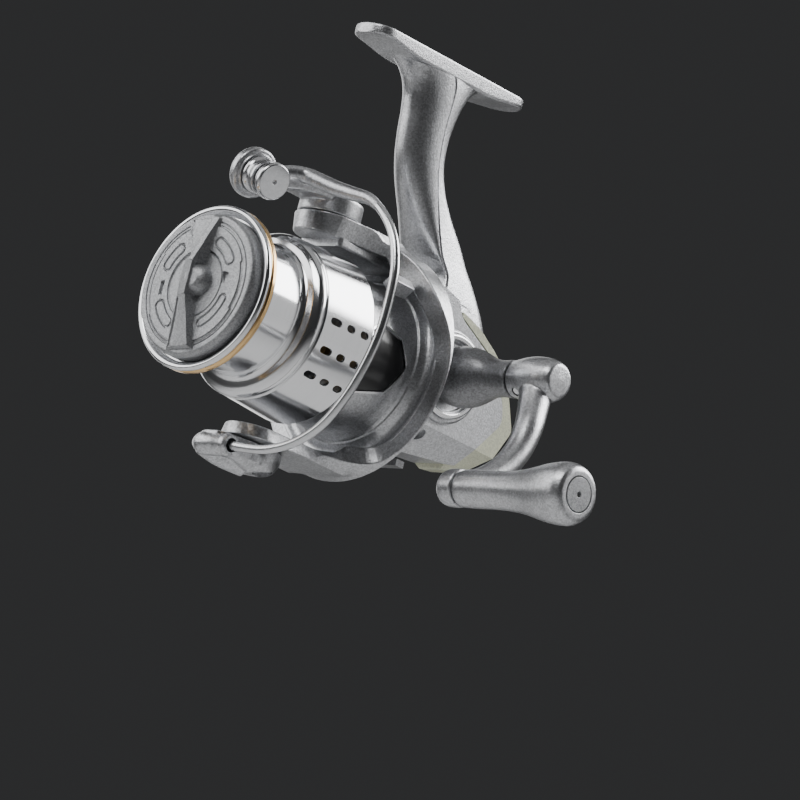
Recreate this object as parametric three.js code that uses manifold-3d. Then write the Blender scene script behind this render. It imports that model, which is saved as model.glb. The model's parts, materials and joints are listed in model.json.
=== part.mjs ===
// Spinning reel, size 2500, built as separate pieces around two crossing axes.
// Millimetres, +Z up. The origin is the centre of the flat top of the rod foot.
// Everything is placed inside one group whose own origin is the centre of the spool's front lip,
// so in that group Y is the distance behind the lip, and the spool axis is the Y axis.
import * as THREE from 'three';
import { mergeVertices } from 'three/addons/utils/BufferGeometryUtils.js';
import Module from 'manifold-3d';

const wasm = await Module();
wasm.setup();

// ---------- driving dimensions (mm) ----------
const FOOT_TOP = 85.4;             // foot face above the spool axis
const FOOT_MIDDLE = 62.8;          // foot centre behind the spool lip
const FOOT_LENGTH = 61;
const FOOT_WIDTH = 13;
const FOOT_THICK = 4.4;
const GAP = 0.3;                   // air between touching pieces

const LIP_RADIUS = 22.5;
const DRUM_RADIUS = 18;            // where the line lies
const SKIRT_RADIUS = 23.5;
const SKIRT_REAR = 40.5;
const SPOOL_STROKE = 12;           // how far the spool travels

const ROTOR_DRUM_RADIUS = 21;
const BAND_INNER = 26.5;
const BAND_OUTER = 32;
const BAND_SHOULDER = 62.4;        // behind this the band slopes in towards the body
const ROTOR_REAR = 66.5;
const PIVOT_Y = 37;                // bail pivots behind the lip
const LOWER_ARM_END = 31;           // the lower arm reaches further forward than its pivot
const ARM_END_RADIUS = 9;
const WIRE_RADIUS = 1.15;

const SHAFT_RADIUS = 1.5;          // main shaft
const PINION_BORE = 1.8;
const PINION_TEETH = 10;
const DRIVE_TEETH = 52;            // 5.2 to 1

const CRANK_Y = 82;                // handle axis behind the lip
const CRANK_Z = 4.3;               // handle axis above the spool axis
const CRANK_RADIUS = 48.7;
const CRANK_ANGLE = THREE.MathUtils.degToRad(36.8);   // crank arm forward of straight down
const BELL_END = 37.1;             // seam between the bell cover and the crank
const FOLD_X = 41.3;               // fold pin
const BODY_HALF = 12;              // side plate from the middle plane
const KNOB_END = 97;

// Facets round a turned piece, by size
const FINE = 24;
const ROUND = 18;
const SMALL = 12;
const TINY = 8;

const CRANK_DOWN = new THREE.Vector3(0, -Math.sin(CRANK_ANGLE), -Math.cos(CRANK_ANGLE));
const CRANK_SIDE = new THREE.Vector3(0, Math.cos(CRANK_ANGLE), -Math.sin(CRANK_ANGLE));
const KNOB_Y = CRANK_Y + CRANK_DOWN.y * CRANK_RADIUS;
const KNOB_Z = CRANK_Z + CRANK_DOWN.z * CRANK_RADIUS;

// ---------- finishes ----------
const finish = (color, metalness, roughness) => new THREE.MeshStandardMaterial({ color, metalness, roughness });
const PAINT = finish(0xb4b5b8, 0.7, 0.42);       // sparkling silver-grey paint
const DARK_PAINT = finish(0x5c5e62, 0.6, 0.45);
const POLISHED = finish(0xd9dadd, 1.0, 0.14);
const STEEL = finish(0xbfc1c4, 1.0, 0.25);
const GOLD = finish(0xd8a860, 1.0, 0.22);
const SATIN = finish(0x9a9b9e, 0.8, 0.5);
const BLACK = finish(0x0c0c0e, 0.0, 0.3);
const CREAM = finish(0xdedfc8, 0.4, 0.4);
const BRASS = finish(0xb5924c, 1.0, 0.35);
const ZINC = finish(0x8d8f92, 0.9, 0.45);
const FELT = finish(0x4a463f, 0.0, 0.9);

const X_AXIS = new THREE.Vector3(1, 0, 0);
const Y_AXIS = new THREE.Vector3(0, 1, 0);
const Z_AXIS = new THREE.Vector3(0, 0, 1);

// ---------- solid helpers ----------
function clean(geometry) {
  const bare = geometry.index ? geometry.toNonIndexed() : geometry.clone();
  bare.deleteAttribute('normal');
  bare.deleteAttribute('uv');
  const merged = mergeVertices(bare, 1e-4);
  const all = merged.index.array;
  const kept = [];
  for (let i = 0; i < all.length; i += 3) {
    const [a, b, c] = [all[i], all[i + 1], all[i + 2]];
    if (a !== b && b !== c && c !== a) kept.push(a, b, c);
  }
  merged.setIndex(kept);
  return merged;
}

function toSolid(geometry) {
  const merged = clean(geometry);
  const vertProperties = new Float32Array(merged.attributes.position.array);
  const triVerts = new Uint32Array(merged.index.array);
  return new wasm.Manifold(new wasm.Mesh({ numProp: 3, vertProperties, triVerts }));
}

function fromSolid(solid) {
  const result = solid.getMesh();
  const geometry = new THREE.BufferGeometry();
  geometry.setAttribute('position', new THREE.BufferAttribute(new Float32Array(result.vertProperties), 3));
  geometry.setIndex(new THREE.BufferAttribute(new Uint32Array(result.triVerts), 1));
  geometry.computeVertexNormals();
  return geometry;
}

function join(...geometries) {
  return fromSolid(geometries.map(toSolid).reduce((sum, next) => sum.add(next)));
}

function cut(base, ...tools) {
  return fromSolid(tools.map(toSolid).reduce((rest, tool) => rest.subtract(tool), toSolid(base)));
}

// A profile of [radius, distance] points turned round the Y axis.
// It starts and ends on the axis, or else closes on itself.
function turned(profile, segments = ROUND) {
  const whole = profile[0][0] === 0 ? profile : [...profile, profile[0]];
  const points = whole.map(([r, y]) => new THREE.Vector2(r, y));
  const geometry = new THREE.LatheGeometry(points, segments);
  const solid = toSolid(geometry);
  if (solid.volume() > 0) return geometry;
  points.reverse();
  return new THREE.LatheGeometry(points, segments);
}

const ring = (inner, outer, start, end, segments = ROUND) =>
  turned([[inner, start], [outer, start], [outer, end], [inner, end]], segments);

const rod = (radius, start, end, segments = SMALL) =>
  new THREE.CylinderGeometry(radius, radius, end - start, segments).translate(0, (start + end) / 2, 0);

const nut = (corner, bore, start, end) => cut(rod(corner, start, end, 6), rod(bore, start - 1, end + 1));

// Turn a piece made along Y so that it lies along another direction, and move it to a point.
function along(geometry, direction, at = [0, 0, 0]) {
  const turn = new THREE.Quaternion().setFromUnitVectors(Y_AXIS, direction.clone().normalize());
  return geometry.clone().applyQuaternion(turn).translate(...at);
}

const onCrank = (geometry) => along(geometry, X_AXIS, [0, CRANK_Y, CRANK_Z]);
const onKnob = (geometry) => along(geometry, X_AXIS, [0, KNOB_Y, KNOB_Z]);

const box = (x0, x1, y0, y1, z0, z1) =>
  new THREE.BoxGeometry(x1 - x0, y1 - y0, z1 - z0).translate((x0 + x1) / 2, (y0 + y1) / 2, (z0 + z1) / 2);

const outline = (points) => new THREE.Shape(points.map(([a, b]) => new THREE.Vector2(a, b)));

// A toothed outline. Each tooth is a row of [radius, part of the pitch] corners.
function toothedShape(teeth, corners, bore = 0, phase = 0) {
  const points = [];
  for (let i = 0; i < teeth; i += 1) {
    for (const [radius, part] of corners) {
      const angle = ((i + part + phase) / teeth) * 2 * Math.PI;
      points.push([radius * Math.cos(angle), radius * Math.sin(angle)]);
    }
  }
  const shape = outline(points);
  if (bore > 0) shape.holes.push(new THREE.Path().absarc(0, 0, bore, 0, 2 * Math.PI, true));
  return shape;
}

// An outline given its thickness along Y.
const disc = (shape, y0, y1, steps = 1) =>
  new THREE.ExtrudeGeometry(shape, { depth: y1 - y0, steps, bevelEnabled: false, curveSegments: 6 })
    .rotateX(-Math.PI / 2).translate(0, y0, 0);

// A side outline of [y, z] points, given its thickness along X.
function sidePlate(points, x0, x1, bevel = 0) {
  const geometry = new THREE.ExtrudeGeometry(outline(points), {
    depth: x1 - x0 - 2 * bevel, bevelEnabled: bevel > 0, bevelThickness: bevel, bevelSize: bevel,
    bevelOffset: -bevel, bevelSegments: 1, curveSegments: 8,
  });
  const basis = new THREE.Matrix4().makeBasis(
    new THREE.Vector3(0, 1, 0), new THREE.Vector3(0, 0, 1), new THREE.Vector3(1, 0, 0));
  return geometry.applyMatrix4(basis).translate(x0 + bevel, 0, 0);
}

// A plan outline of [x, y] points, given its height along Z.
function planPlate(points, z0, z1, bevel = 0) {
  const shape = Array.isArray(points) ? outline(points) : points;
  return new THREE.ExtrudeGeometry(shape, {
    depth: z1 - z0 - 2 * bevel, bevelEnabled: bevel > 0, bevelThickness: bevel, bevelSize: bevel,
    bevelOffset: -bevel, bevelSegments: 1, curveSegments: 10,
  }).translate(0, 0, z0 + bevel);
}

// A solid skinned over a row of closed rings of points, each ring with the same count.
function loft(rings, closed = false) {
  const count = rings[0].length;
  const positions = rings.flat().flatMap((p) => [p.x, p.y, p.z]);
  const index = [];
  const rows = closed ? rings.length : rings.length - 1;
  for (let i = 0; i < rows; i += 1) {
    const next = (i + 1) % rings.length;
    for (let j = 0; j < count; j += 1) {
      const k = (j + 1) % count;
      index.push(i * count + j, next * count + j, next * count + k);
      index.push(i * count + j, next * count + k, i * count + k);
    }
  }
  if (!closed) {
    const last = (rings.length - 1) * count;
    for (let j = 1; j < count - 1; j += 1) {
      index.push(0, j, j + 1);
      index.push(last, last + j + 1, last + j);
    }
  }
  const geometry = new THREE.BufferGeometry();
  geometry.setAttribute('position', new THREE.Float32BufferAttribute(positions, 3));
  geometry.setIndex(index);
  if (toSolid(geometry).volume() > 0) return geometry;
  const flipped = [];
  for (let i = 0; i < index.length; i += 3) flipped.push(index[i], index[i + 2], index[i + 1]);
  geometry.setIndex(flipped);
  return geometry;
}

// A round bar along a smooth curve whose radius may change from end to end.
function bar(points, radii, steps = 24, sides = 10) {
  const curve = new THREE.CatmullRomCurve3(points.map((p) => new THREE.Vector3(...p)), false, 'centripetal');
  const frames = curve.computeFrenetFrames(steps, false);
  const rings = [];
  for (let i = 0; i <= steps; i += 1) {
    const t = i / steps;
    const place = t * (radii.length - 1);
    const low = Math.min(Math.floor(place), radii.length - 2);
    const radius = THREE.MathUtils.lerp(radii[low], radii[low + 1], place - low);
    const centre = curve.getPointAt(t);
    const turn = [];
    for (let j = 0; j < sides; j += 1) {
      const angle = (j / sides) * 2 * Math.PI;
      turn.push(centre.clone()
        .addScaledVector(frames.normals[i], radius * Math.cos(angle))
        .addScaledVector(frames.binormals[i], radius * Math.sin(angle)));
    }
    rings.push(turn);
  }
  return loft(rings);
}

// ---------- the assembly ----------
const reel = new THREE.Group();
const works = new THREE.Group();
works.position.set(0, -FOOT_MIDDLE, -FOOT_TOP);
reel.add(works);

function add(name, geometry, material) {
  const piece = new THREE.Mesh(clean(geometry), material);
  piece.name = name;
  works.add(piece);
}

// ---------- spool and drag ----------
const CHAMBER_RADIUS = 14.6;        // drag washer chamber in the front of the spool
const CHAMBER_FLOOR = 13;
const KNOB_RECESS = 20.1;
const HUB_RADIUS = 7.2;
const HUB_REAR = 26;
const BUSH_RADIUS = 3.6;

function makeSpool() {
  const body = turned([
    [BUSH_RADIUS + GAP, HUB_REAR], [BUSH_RADIUS + GAP, CHAMBER_FLOOR], [CHAMBER_RADIUS, CHAMBER_FLOOR],
    [CHAMBER_RADIUS, 1.6], [KNOB_RECESS, 1.6], [KNOB_RECESS, 0.2], [21.2, -0.8], [22.1, -0.8],
    [LIP_RADIUS, -0.2], [LIP_RADIUS, 0.9], [20.6, 0.9], [20.6, 3.4], [DRUM_RADIUS + 0.6, 3.5],
    [DRUM_RADIUS, 4.2], [DRUM_RADIUS, 18.6], [DRUM_RADIUS + 1.4, 19.6], [21.6, 19.9], [22.6, 20.8],
    [22.6, 22.2], [22.2, 22.6], [22.6, 23.0], [SKIRT_RADIUS, SKIRT_REAR], [22.6, SKIRT_REAR],
    [21.9, 24.6], [16.4, 24.6], [16.4, 15], [HUB_RADIUS, 15], [HUB_RADIUS, HUB_REAR],
  ], FINE);
  const holes = [];
  const rows = [[27.1, 4.1], [32.6, 3.0], [37.6, 3.0]];
  for (const patch of [0, 120, 240]) {
    for (const angle of [1.5, -18.5, -37.5]) {
      for (const [y, length] of rows) {
        const half = length / 2 - 1;
        const slot = new THREE.Shape();
        slot.absarc(half, 0, 1, -Math.PI / 2, Math.PI / 2);
        slot.absarc(-half, 0, 1, Math.PI / 2, 1.5 * Math.PI);
        holes.push(new THREE.ExtrudeGeometry(slot, { depth: 4, bevelEnabled: false, curveSegments: 1 })
          .rotateZ(Math.PI / 2).rotateY(Math.PI / 2).translate(20.5, y, 0)
          .rotateY(-THREE.MathUtils.degToRad(angle + patch)));
      }
    }
  }
  return cut(body, ...holes);
}
add('spool', makeSpool(), POLISHED);
add('lip_ring', ring(20.9, LIP_RADIUS, 1.2, 3.1, FINE), GOLD);
add('spool_bush', ring(SHAFT_RADIUS + 0.25, BUSH_RADIUS, CHAMBER_FLOOR + 0.4, HUB_REAR), BRASS);

// Drag stack: metal and felt washers in turn, held by a spring clip ring.
const WASHER = 1.1;
for (let i = 0; i < 4; i += 1) {
  const start = CHAMBER_FLOOR - GAP - (i + 1) * WASHER - i * GAP;
  const felt = i % 2 === 0;
  const name = felt ? `drag_washer_felt_${i / 2 + 1}` : `drag_washer_metal_${(i - 1) / 2 + 1}`;
  add(name, ring(SHAFT_RADIUS + 0.5, CHAMBER_RADIUS - 0.5, start, start + WASHER, ROUND), felt ? FELT : STEEL);
}
add('washer_clip', ring(12.9, CHAMBER_RADIUS - 0.4, 6.2, 7.0, ROUND), STEEL);

const CLICK_TEETH = 16;
const CLICK_CORNERS = [[7.4, 0], [7.4, 0.4], [8.4, 0.55], [8.4, 0.85]];
const clickShape = toothedShape(CLICK_TEETH, CLICK_CORNERS, SHAFT_RADIUS + 0.6);
add('click_wheel', disc(clickShape, HUB_REAR + GAP, HUB_REAR + 1.5), BRASS);

// Line clip: a small hooked spring tab on the skirt.
function makeLineClip() {
  const angle = THREE.MathUtils.degToRad(150);
  const tab = box(0, 1.1, -2.6, 2.6, -1.5, 1.5);
  const foot = box(-0.9, 0.4, -1.2, 1.2, -0.8, 0.8);
  return join(tab, foot).translate(24.2, 31, 0).rotateY(-angle);
}
add('line_clip', makeLineClip(), STEEL);

// Cross-sections of the grip across the knob, from its lower end to its upper end:
// [height, left foot, left edge of the crest, right edge of the crest, right foot, crest distance].
const GRIP = [
  [-17.9, -4.2, 2.4, 4.4, 5.2, -4.6], [-8, -5.6, 0, 1.9, 3.0, -6.4], [-3.6, -6.6, -1.2, 1.6, 2.4, -7.2],
  [0.8, -8.4, -2.4, 3.4, 4.4, -7.3], [5.6, -8.2, -1.4, 0.8, 1.6, -7.2], [18.0, -8.0, 0.2, 2.6, 3.3, -4.2],
];
const GRIP_FOOT = -2.6;

function makeDragKnob() {
  const face = turned([
    [2.4, -2.2], [3.2, -3], [17.6, -3], [19.0, -2.2], [19.4, -0.4], [19.4, 1.2], [13.4, 1.2], [13.4, 3.6],
    [6.2, 3.6], [6.2, 1.4], [2.4, 1.4],
  ], FINE);
  const grip = loft(GRIP.map(([z, left, crestLeft, crestRight, right, crest]) => [
    new THREE.Vector3(left, GRIP_FOOT, z), new THREE.Vector3(crestLeft, crest, z),
    new THREE.Vector3(crestRight, crest, z), new THREE.Vector3(right, GRIP_FOOT, z),
  ]));
  return join(face, grip);
}
add('drag_knob', makeDragKnob(), SATIN);
add('drag_nut', nut(5.9, SHAFT_RADIUS + 0.2, 1.8, 4.6), BRASS);
add('drag_spring', ring(3.4, 5.2, 4.9, 6.9, TINY), STEEL);

// ---------- main shaft and oscillation ----------
const SHAFT_REAR = 90.5;
const GUIDE_Z = -10.8;
const SLIDER_FRONT = 84.8;
const CROSS_TEETH = 15;             // on the drive shaft
const OSCILLATION_TEETH = 28;
const MODULE = 0.5;
const CROSS_X = [5.6, 7.8];
const OSCILLATION_Y = 84.5;
const CROSS_DISTANCE = (MODULE * (CROSS_TEETH + OSCILLATION_TEETH)) / 2;
const OSCILLATION_Z = CRANK_Z - Math.sqrt(CROSS_DISTANCE ** 2 - (OSCILLATION_Y - CRANK_Y) ** 2);
const CRANK_PIN_Y = OSCILLATION_Y - SPOOL_STROKE / 2;
const onOscillation = (geometry) => along(geometry, X_AXIS, [0, OSCILLATION_Y, OSCILLATION_Z]);

add('main_shaft', rod(SHAFT_RADIUS, -1.6, SHAFT_REAR, TINY), STEEL);

function makeSlider() {
  const rear = SLIDER_FRONT + 5;
  const slotEnd = SPOOL_STROKE / 2 + 0.9;
  const block = box(-3.2, 3.2, SLIDER_FRONT, SLIDER_FRONT + 3.6, -3.2, 3.4);
  const leg = box(-3.2, 4, SLIDER_FRONT, SLIDER_FRONT + 2.4, -12.3, -3);
  const bridge = box(2.8, 4, CRANK_PIN_Y, SLIDER_FRONT + 1, -12.3, 0);
  const frame = box(2.8, 4, CRANK_PIN_Y - 2.2, CRANK_PIN_Y + 2.2, OSCILLATION_Z - 7.6, OSCILLATION_Z + 7.6);
  const shaftHole = rod(SHAFT_RADIUS + GAP, SLIDER_FRONT - 1, rear, TINY);
  const guideHole = rod(1.2, SLIDER_FRONT - 1, rear, TINY).translate(0, 0, GUIDE_Z);
  const screwHole = along(rod(1.3, 1, 5, TINY), Z_AXIS, [0, SLIDER_FRONT + 1.8, 0]);
  const slot = box(2, 5, CRANK_PIN_Y - 1.1, CRANK_PIN_Y + 1.1, OSCILLATION_Z - slotEnd, OSCILLATION_Z + slotEnd);
  return cut(join(block, leg, bridge, frame), shaftHole, guideHole, screwHole, slot);
}
add('oscillation_slider', makeSlider(), ZINC);
const sliderScrew = join(rod(0.9, 1.9, 3.8, TINY), rod(1.5, 3.7, 4.7, TINY));
add('slider_screw', along(sliderScrew, Z_AXIS, [0, SLIDER_FRONT + 1.8, 0]), STEEL);

// ---------- pinion and drive ----------
const PINION_TIP = 3.3;
const PINION_ROOT = 2.5;
const HELIX_FRONT = 64.5;
const HELIX_REAR = 73;
const HELIX_TWIST = 0.09;                 // radians per mm
const GEAR_RADIUS = 11.6;
const GEAR_INNER = 9.2;
const GEAR_FACE = -(PINION_TIP + 0.25);   // tips of the drive teeth, left of the pinion

function makePinion() {
  const corners = [[PINION_ROOT, 0], [PINION_ROOT, 0.35], [PINION_TIP, 0.5], [PINION_TIP, 0.85]];
  const helical = disc(toothedShape(PINION_TEETH, corners), HELIX_FRONT, HELIX_REAR, 2);
  const position = helical.attributes.position;
  for (let i = 0; i < position.count; i += 1) {
    const point = new THREE.Vector3().fromBufferAttribute(position, i);
    point.applyAxisAngle(Y_AXIS, (point.y - HELIX_FRONT) * HELIX_TWIST);
    position.setXYZ(i, point.x, point.y, point.z);
  }
  const sleeve = rod(3.4, 41.6, HELIX_FRONT + 0.5, SMALL);
  const tail = rod(2.5, 72, 75.6, SMALL);
  return cut(join(sleeve, helical, tail), rod(PINION_BORE, 40, 77, SMALL));
}
add('pinion_gear', makePinion(), BRASS);

// Face gear: a disc whose rim steps up into a tooth and down again all the way round.
function makeDriveGear() {
  const step = (2 * Math.PI) / DRIVE_TEETH;
  const sections = [];
  for (let i = 0; i < DRIVE_TEETH; i += 1) {
    for (const [part, top] of [[0, GEAR_FACE - 0.9], [0.5, GEAR_FACE]]) {
      const angle = (i + part) * step;
      const at = (r, y) => new THREE.Vector3(r * Math.cos(angle), y, r * Math.sin(angle));
      const back = GEAR_FACE - 2.4;
      sections.push([at(GEAR_INNER, back), at(GEAR_RADIUS, back), at(GEAR_RADIUS, top), at(GEAR_INNER, top)]);
    }
  }
  const web = ring(3.6, 9.6, GEAR_FACE - 3.2, GEAR_FACE - 1.4, ROUND);
  const hub = ring(3.6, 6, GEAR_FACE - 4.6, GEAR_FACE - 1, SMALL);
  return onCrank(join(loft(sections, true), web, hub));
}
add('drive_gear', makeDriveGear(), ZINC);

// Plain spur teeth for the gears that move the slider.
function spurTeeth(teeth, bore, y0, y1, phase) {
  const pitch = (MODULE * teeth) / 2;
  const corners = [[pitch - 0.55, 0.3], [pitch + 0.4, 0.42], [pitch + 0.4, 0.58], [pitch - 0.55, 0.7]];
  return disc(toothedShape(teeth, corners, bore, phase), y0, y1);
}

// A tooth of the cross gear points along the line of centres and a gap of the oscillation gear faces it.
const MESH_ANGLE = Math.atan2(CRANK_Z - OSCILLATION_Z, CRANK_Y - OSCILLATION_Y);
const CROSS_PHASE = (MESH_ANGLE / (2 * Math.PI)) * CROSS_TEETH - 0.5;
const OSCILLATION_PHASE = ((MESH_ANGLE + Math.PI) / (2 * Math.PI)) * OSCILLATION_TEETH;

function makeDriveShaft() {
  const shaft = turned([
    [0, -10.2], [3.3, -10.2], [3.3, -3.6], [2.4, -3.2], [2.4, 4.4], [3.0, 4.8], [3.0, 8], [3.3, 8.2],
    [3.3, 13.8], [0, 13.8],
  ], SMALL);
  return onCrank(join(shaft, spurTeeth(CROSS_TEETH, 0, ...CROSS_X, CROSS_PHASE)));
}
add('drive_shaft', makeDriveShaft(), ZINC);

// ---------- body, covers and foot ----------
const BODY_FRONT = 69.2;
const SIDE_OUTLINE = [
  [BODY_FRONT, -17.6], [80, -17.4], [101, -14.6], [104.4, -9.4], [107.3, -2.2], [104.2, 6.4], [99.4, 14.2],
  [88, 23.4], [80, 26], [BODY_FRONT, 25],
];
const CAVITY_FRONT = BODY_FRONT + 0.9;
const CAVITY_OUTLINE = [
  [CAVITY_FRONT, -15.4], [80, -15.4], [99.4, -13.4], [104.6, -2], [101.6, 6], [97, 12.6], [86, 20.6],
  [CAVITY_FRONT, 20.6],
];

// Cross-sections of the stem, from the body up to the foot: height, front, rear, half width.
const STEM = [
  [19.3, 74, 101, 9.5], [24.6, 75.2, 98, 8.9], [30.5, 76.4, 92.8, 7.8], [40, 67.2, 84.2, 6.6],
  [46, 62.4, 77.6, 6.2], [56, 57, 70.6, 6.0], [62, 55.6, 68.8, 6.0], [70, 54.6, 69.4, 6.1],
  [76, 52.8, 71.2, 6.3], [80.6, 48.5, 74.5, 6.4], [82.4, 47, 75.5, 6.2],
];

function makeStem() {
  const sides = 12;
  const bulge = 1.03;
  return loft(STEM.map(([z, front, rear, half]) => {
    const points = [];
    for (let j = 0; j < sides; j += 1) {
      const angle = ((j + 0.5) / sides) * 2 * Math.PI;
      const y = (front + rear) / 2 - ((rear - front) / 2) * Math.cos(angle) * bulge;
      points.push(new THREE.Vector3(half * Math.sin(angle) * bulge, y, z));
    }
    return points;
  }));
}

function makeFoot() {
  const shape = new THREE.Shape();
  const half = FOOT_WIDTH / 2;
  const front = FOOT_MIDDLE - FOOT_LENGTH / 2;
  const rear = FOOT_MIDDLE + FOOT_LENGTH / 2;
  const blunt = 4.2;
  shape.moveTo(-half, rear - blunt);
  shape.lineTo(-half, front + blunt);
  shape.quadraticCurveTo(-half, front, 0, front);
  shape.quadraticCurveTo(half, front, half, front + blunt);
  shape.lineTo(half, rear - blunt);
  shape.quadraticCurveTo(half, rear, 0, rear);
  shape.quadraticCurveTo(-half, rear, -half, rear - blunt);
  return planPlate(shape, FOOT_TOP - FOOT_THICK, FOOT_TOP, 0.5);
}

const LEVER_Y = 78;

// The neck in front of the body carries the pinion bearing and the one-way clutch inside the rotor.
const NECK_FRONT = 55;
const NECK_RADIUS = 12.2;

function makeHousing() {
  const shell = sidePlate(SIDE_OUTLINE, -BODY_HALF, BODY_HALF, 1.6);
  const chamfer = [-1, 1].map((side) =>
    new THREE.BoxGeometry(30, 60, 8).rotateY(side * -0.66).translate(side * 13.6, 86, -19.8));
  const flange = rod(20, BODY_FRONT - 1.6, BODY_FRONT + 0.7, ROUND);
  const neck = rod(NECK_RADIUS, NECK_FRONT, BODY_FRONT + 3, ROUND);
  const boss = onCrank(rod(12.6, BODY_HALF - 2, BODY_HALF + 1.4, ROUND));
  const outer = cut(join(shell, flange, neck, boss, makeStem(), makeFoot()), ...chamfer);
  const cavity = sidePlate(CAVITY_OUTLINE, -BODY_HALF - 1, BODY_HALF - 2.4);
  const clutchPocket = rod(10, NECK_FRONT - 1, 61.2, ROUND);
  const bearingPocket = rod(7, 60, 64.6, SMALL);
  const pinionWay = rod(4.2, 60, 75, SMALL);
  const crankPocket = onCrank(rod(6.4, 4, BODY_HALF - 0.4, SMALL));
  const crankWay = onCrank(rod(5.2, 4, BODY_HALF + 3, SMALL));
  const leverHole = along(rod(2, -22, -10, SMALL), Z_AXIS, [0, LEVER_Y, 0]);
  const hollow = cut(outer, cavity, clutchPocket, bearingPocket, pinionWay, crankPocket, crankWay, leverHole);
  const axle = onOscillation(rod(1.3, CROSS_X[0] - 0.4, BODY_HALF - 2, TINY));
  const bushSeat = cut(box(-3, 3, CAVITY_FRONT - 0.2, 75.4, 3.4, 21), rod(3.8, 60, 80, SMALL));
  return join(hollow, axle, bushSeat);
}
add('body_housing', makeHousing(), PAINT);

// An outline grown or shrunk away from its middle.
function grown(points, amount, middle) {
  return points.map(([a, b]) => {
    const away = new THREE.Vector2(a - middle[0], b - middle[1]);
    away.setLength(away.length() + amount);
    return [middle[0] + away.x, middle[1] + away.y];
  });
}

const COVER_FACE = -BODY_HALF - 2.6;
const COVER_SCREWS = [[73.2, 19.4], [98.4, -9.6], [74.2, -12.6]];

function makeSideCover() {
  const plate = sidePlate(grown(SIDE_OUTLINE, -1.8, [86, 2]), COVER_FACE, -BODY_HALF - GAP, 0.9);
  const boss = onCrank(rod(10, COVER_FACE - 1.8, -BODY_HALF - 1, ROUND));
  const seat = onCrank(rod(8.4, -BODY_HALF - 1, -BODY_HALF + 2, SMALL));
  const bearingPocket = onCrank(rod(6.4, -BODY_HALF - 1.4, -BODY_HALF + 3, SMALL));
  const shaftHole = onCrank(rod(4, -BODY_HALF - 8, -BODY_HALF + 3, SMALL));
  const screwHoles = COVER_SCREWS.flatMap(([y, z]) => [
    along(rod(1.4, -BODY_HALF - 8, -BODY_HALF + 3, TINY), X_AXIS, [0, y, z]),
    along(rod(2.4, -BODY_HALF - 8, COVER_FACE + 1, TINY), X_AXIS, [0, y, z]),
  ]);
  return cut(join(plate, boss, seat), bearingPocket, shaftHole, ...screwHoles);
}
add('side_cover', makeSideCover(), PAINT);
COVER_SCREWS.forEach(([y, z], i) => {
  const neck = COVER_FACE + 0.7;
  const screw = join(rod(1.1, neck, -BODY_HALF, TINY), rod(2.1, neck - 1.3, neck, TINY));
  add(`cover_screw_${i + 1}`, along(screw, X_AXIS, [0, y, z]), STEEL);
});

// Pale trim that wraps the rear edge of the body.
const REAR_TRIM = [
  [83.5, 27], [88.4, 24], [100, 14.6], [104.8, 6.6], [107.9, -2.2], [105, -9.7], [101.6, -15], [96, -15.9],
  [97, -18], [103.4, -16.6], [107.4, -10.2], [111.2, -2], [107.6, 8], [102.2, 16.6], [90.5, 26.8], [85.5, 29],
];
const STEM_ROOT_CUT = box(-14, 14, 70, 103, 19, 40);
add('rear_cover', cut(sidePlate(REAR_TRIM, -BODY_HALF + 1, BODY_HALF - 1, 0.8), STEM_ROOT_CUT), CREAM);

add('boss_ring', onCrank(ring(9.6, 11.4, BODY_HALF + 1.7, BODY_HALF + 2.7, ROUND)), POLISHED);
add('drive_bearing_right', onCrank(ring(3.6, 6.1, BODY_HALF - 4.2, BODY_HALF - 0.8, SMALL)), STEEL);
add('drive_bearing_left', onCrank(ring(3.6, 6.1, -BODY_HALF - 1.1, -BODY_HALF + 2.6, SMALL)), STEEL);
add('handle_screw_cap', onCrank(turned([
  [0, -19], [7, -19], [8.2, -17.6], [8.2, -16.8], [3.4, -16.7], [3.4, -12.6], [2.4, -12.4], [2.4, -10.6],
  [0, -10.6],
], SMALL)), DARK_PAINT);

add('pinion_bearing', ring(3.7, 6.7, 61.5, 64.2, SMALL), STEEL);
add('anti_reverse_clutch', ring(3.9, 9.7, 55.6, 60.8, ROUND), STEEL);
add('pinion_bush', ring(2.8, 3.4, 73.2, 75.6, SMALL), BRASS);

add('guide_rod', rod(0.9, CAVITY_FRONT + GAP, 99.2, TINY).translate(0, 0, GUIDE_Z), STEEL);

// Its crank pin reaches towards the slot of the slider.
function makeOscillationGear() {
  const wheel = spurTeeth(OSCILLATION_TEETH, 1.6, ...CROSS_X, OSCILLATION_PHASE);
  const pin = rod(0.9, CROSS_X[0] - 1.2, CROSS_X[0] + 0.5, TINY).translate(0, 0, SPOOL_STROKE / 2);
  return onOscillation(join(wheel, pin));
}
add('oscillation_gear', makeOscillationGear(), ZINC);

// Anti-reverse lever under the front of the body.
function makeReverseLever() {
  const post = along(rod(1.6, -22.4, -13.8, TINY), Z_AXIS, [0, LEVER_Y, 0]);
  const tab = box(-2, 7.4, LEVER_Y - 1.6, LEVER_Y + 1.4, -22.4, -20.6);
  return join(post, tab);
}
add('anti_reverse_lever', makeReverseLever(), DARK_PAINT);

// ---------- handle ----------
add('bell_cover', onCrank(turned([
  [3.7, 13.9], [7.4, 13.9], [8.1, 16], [8.3, 19.4], [7.5, 24.4], [5.8, 28.4], [4.9, 32], [5.0, BELL_END],
  [3.7, BELL_END],
], ROUND)), DARK_PAINT);

// A frame on the handle axis: Y along the axis, X the side the crank folds towards, Z along the fold pin.
function foldFrame(geometry) {
  const pinAxis = new THREE.Vector3().crossVectors(CRANK_SIDE, X_AXIS);
  const basis = new THREE.Matrix4().makeBasis(CRANK_SIDE, X_AXIS, pinAxis);
  return geometry.clone().applyMatrix4(basis).translate(0, CRANK_Y, CRANK_Z);
}

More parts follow.
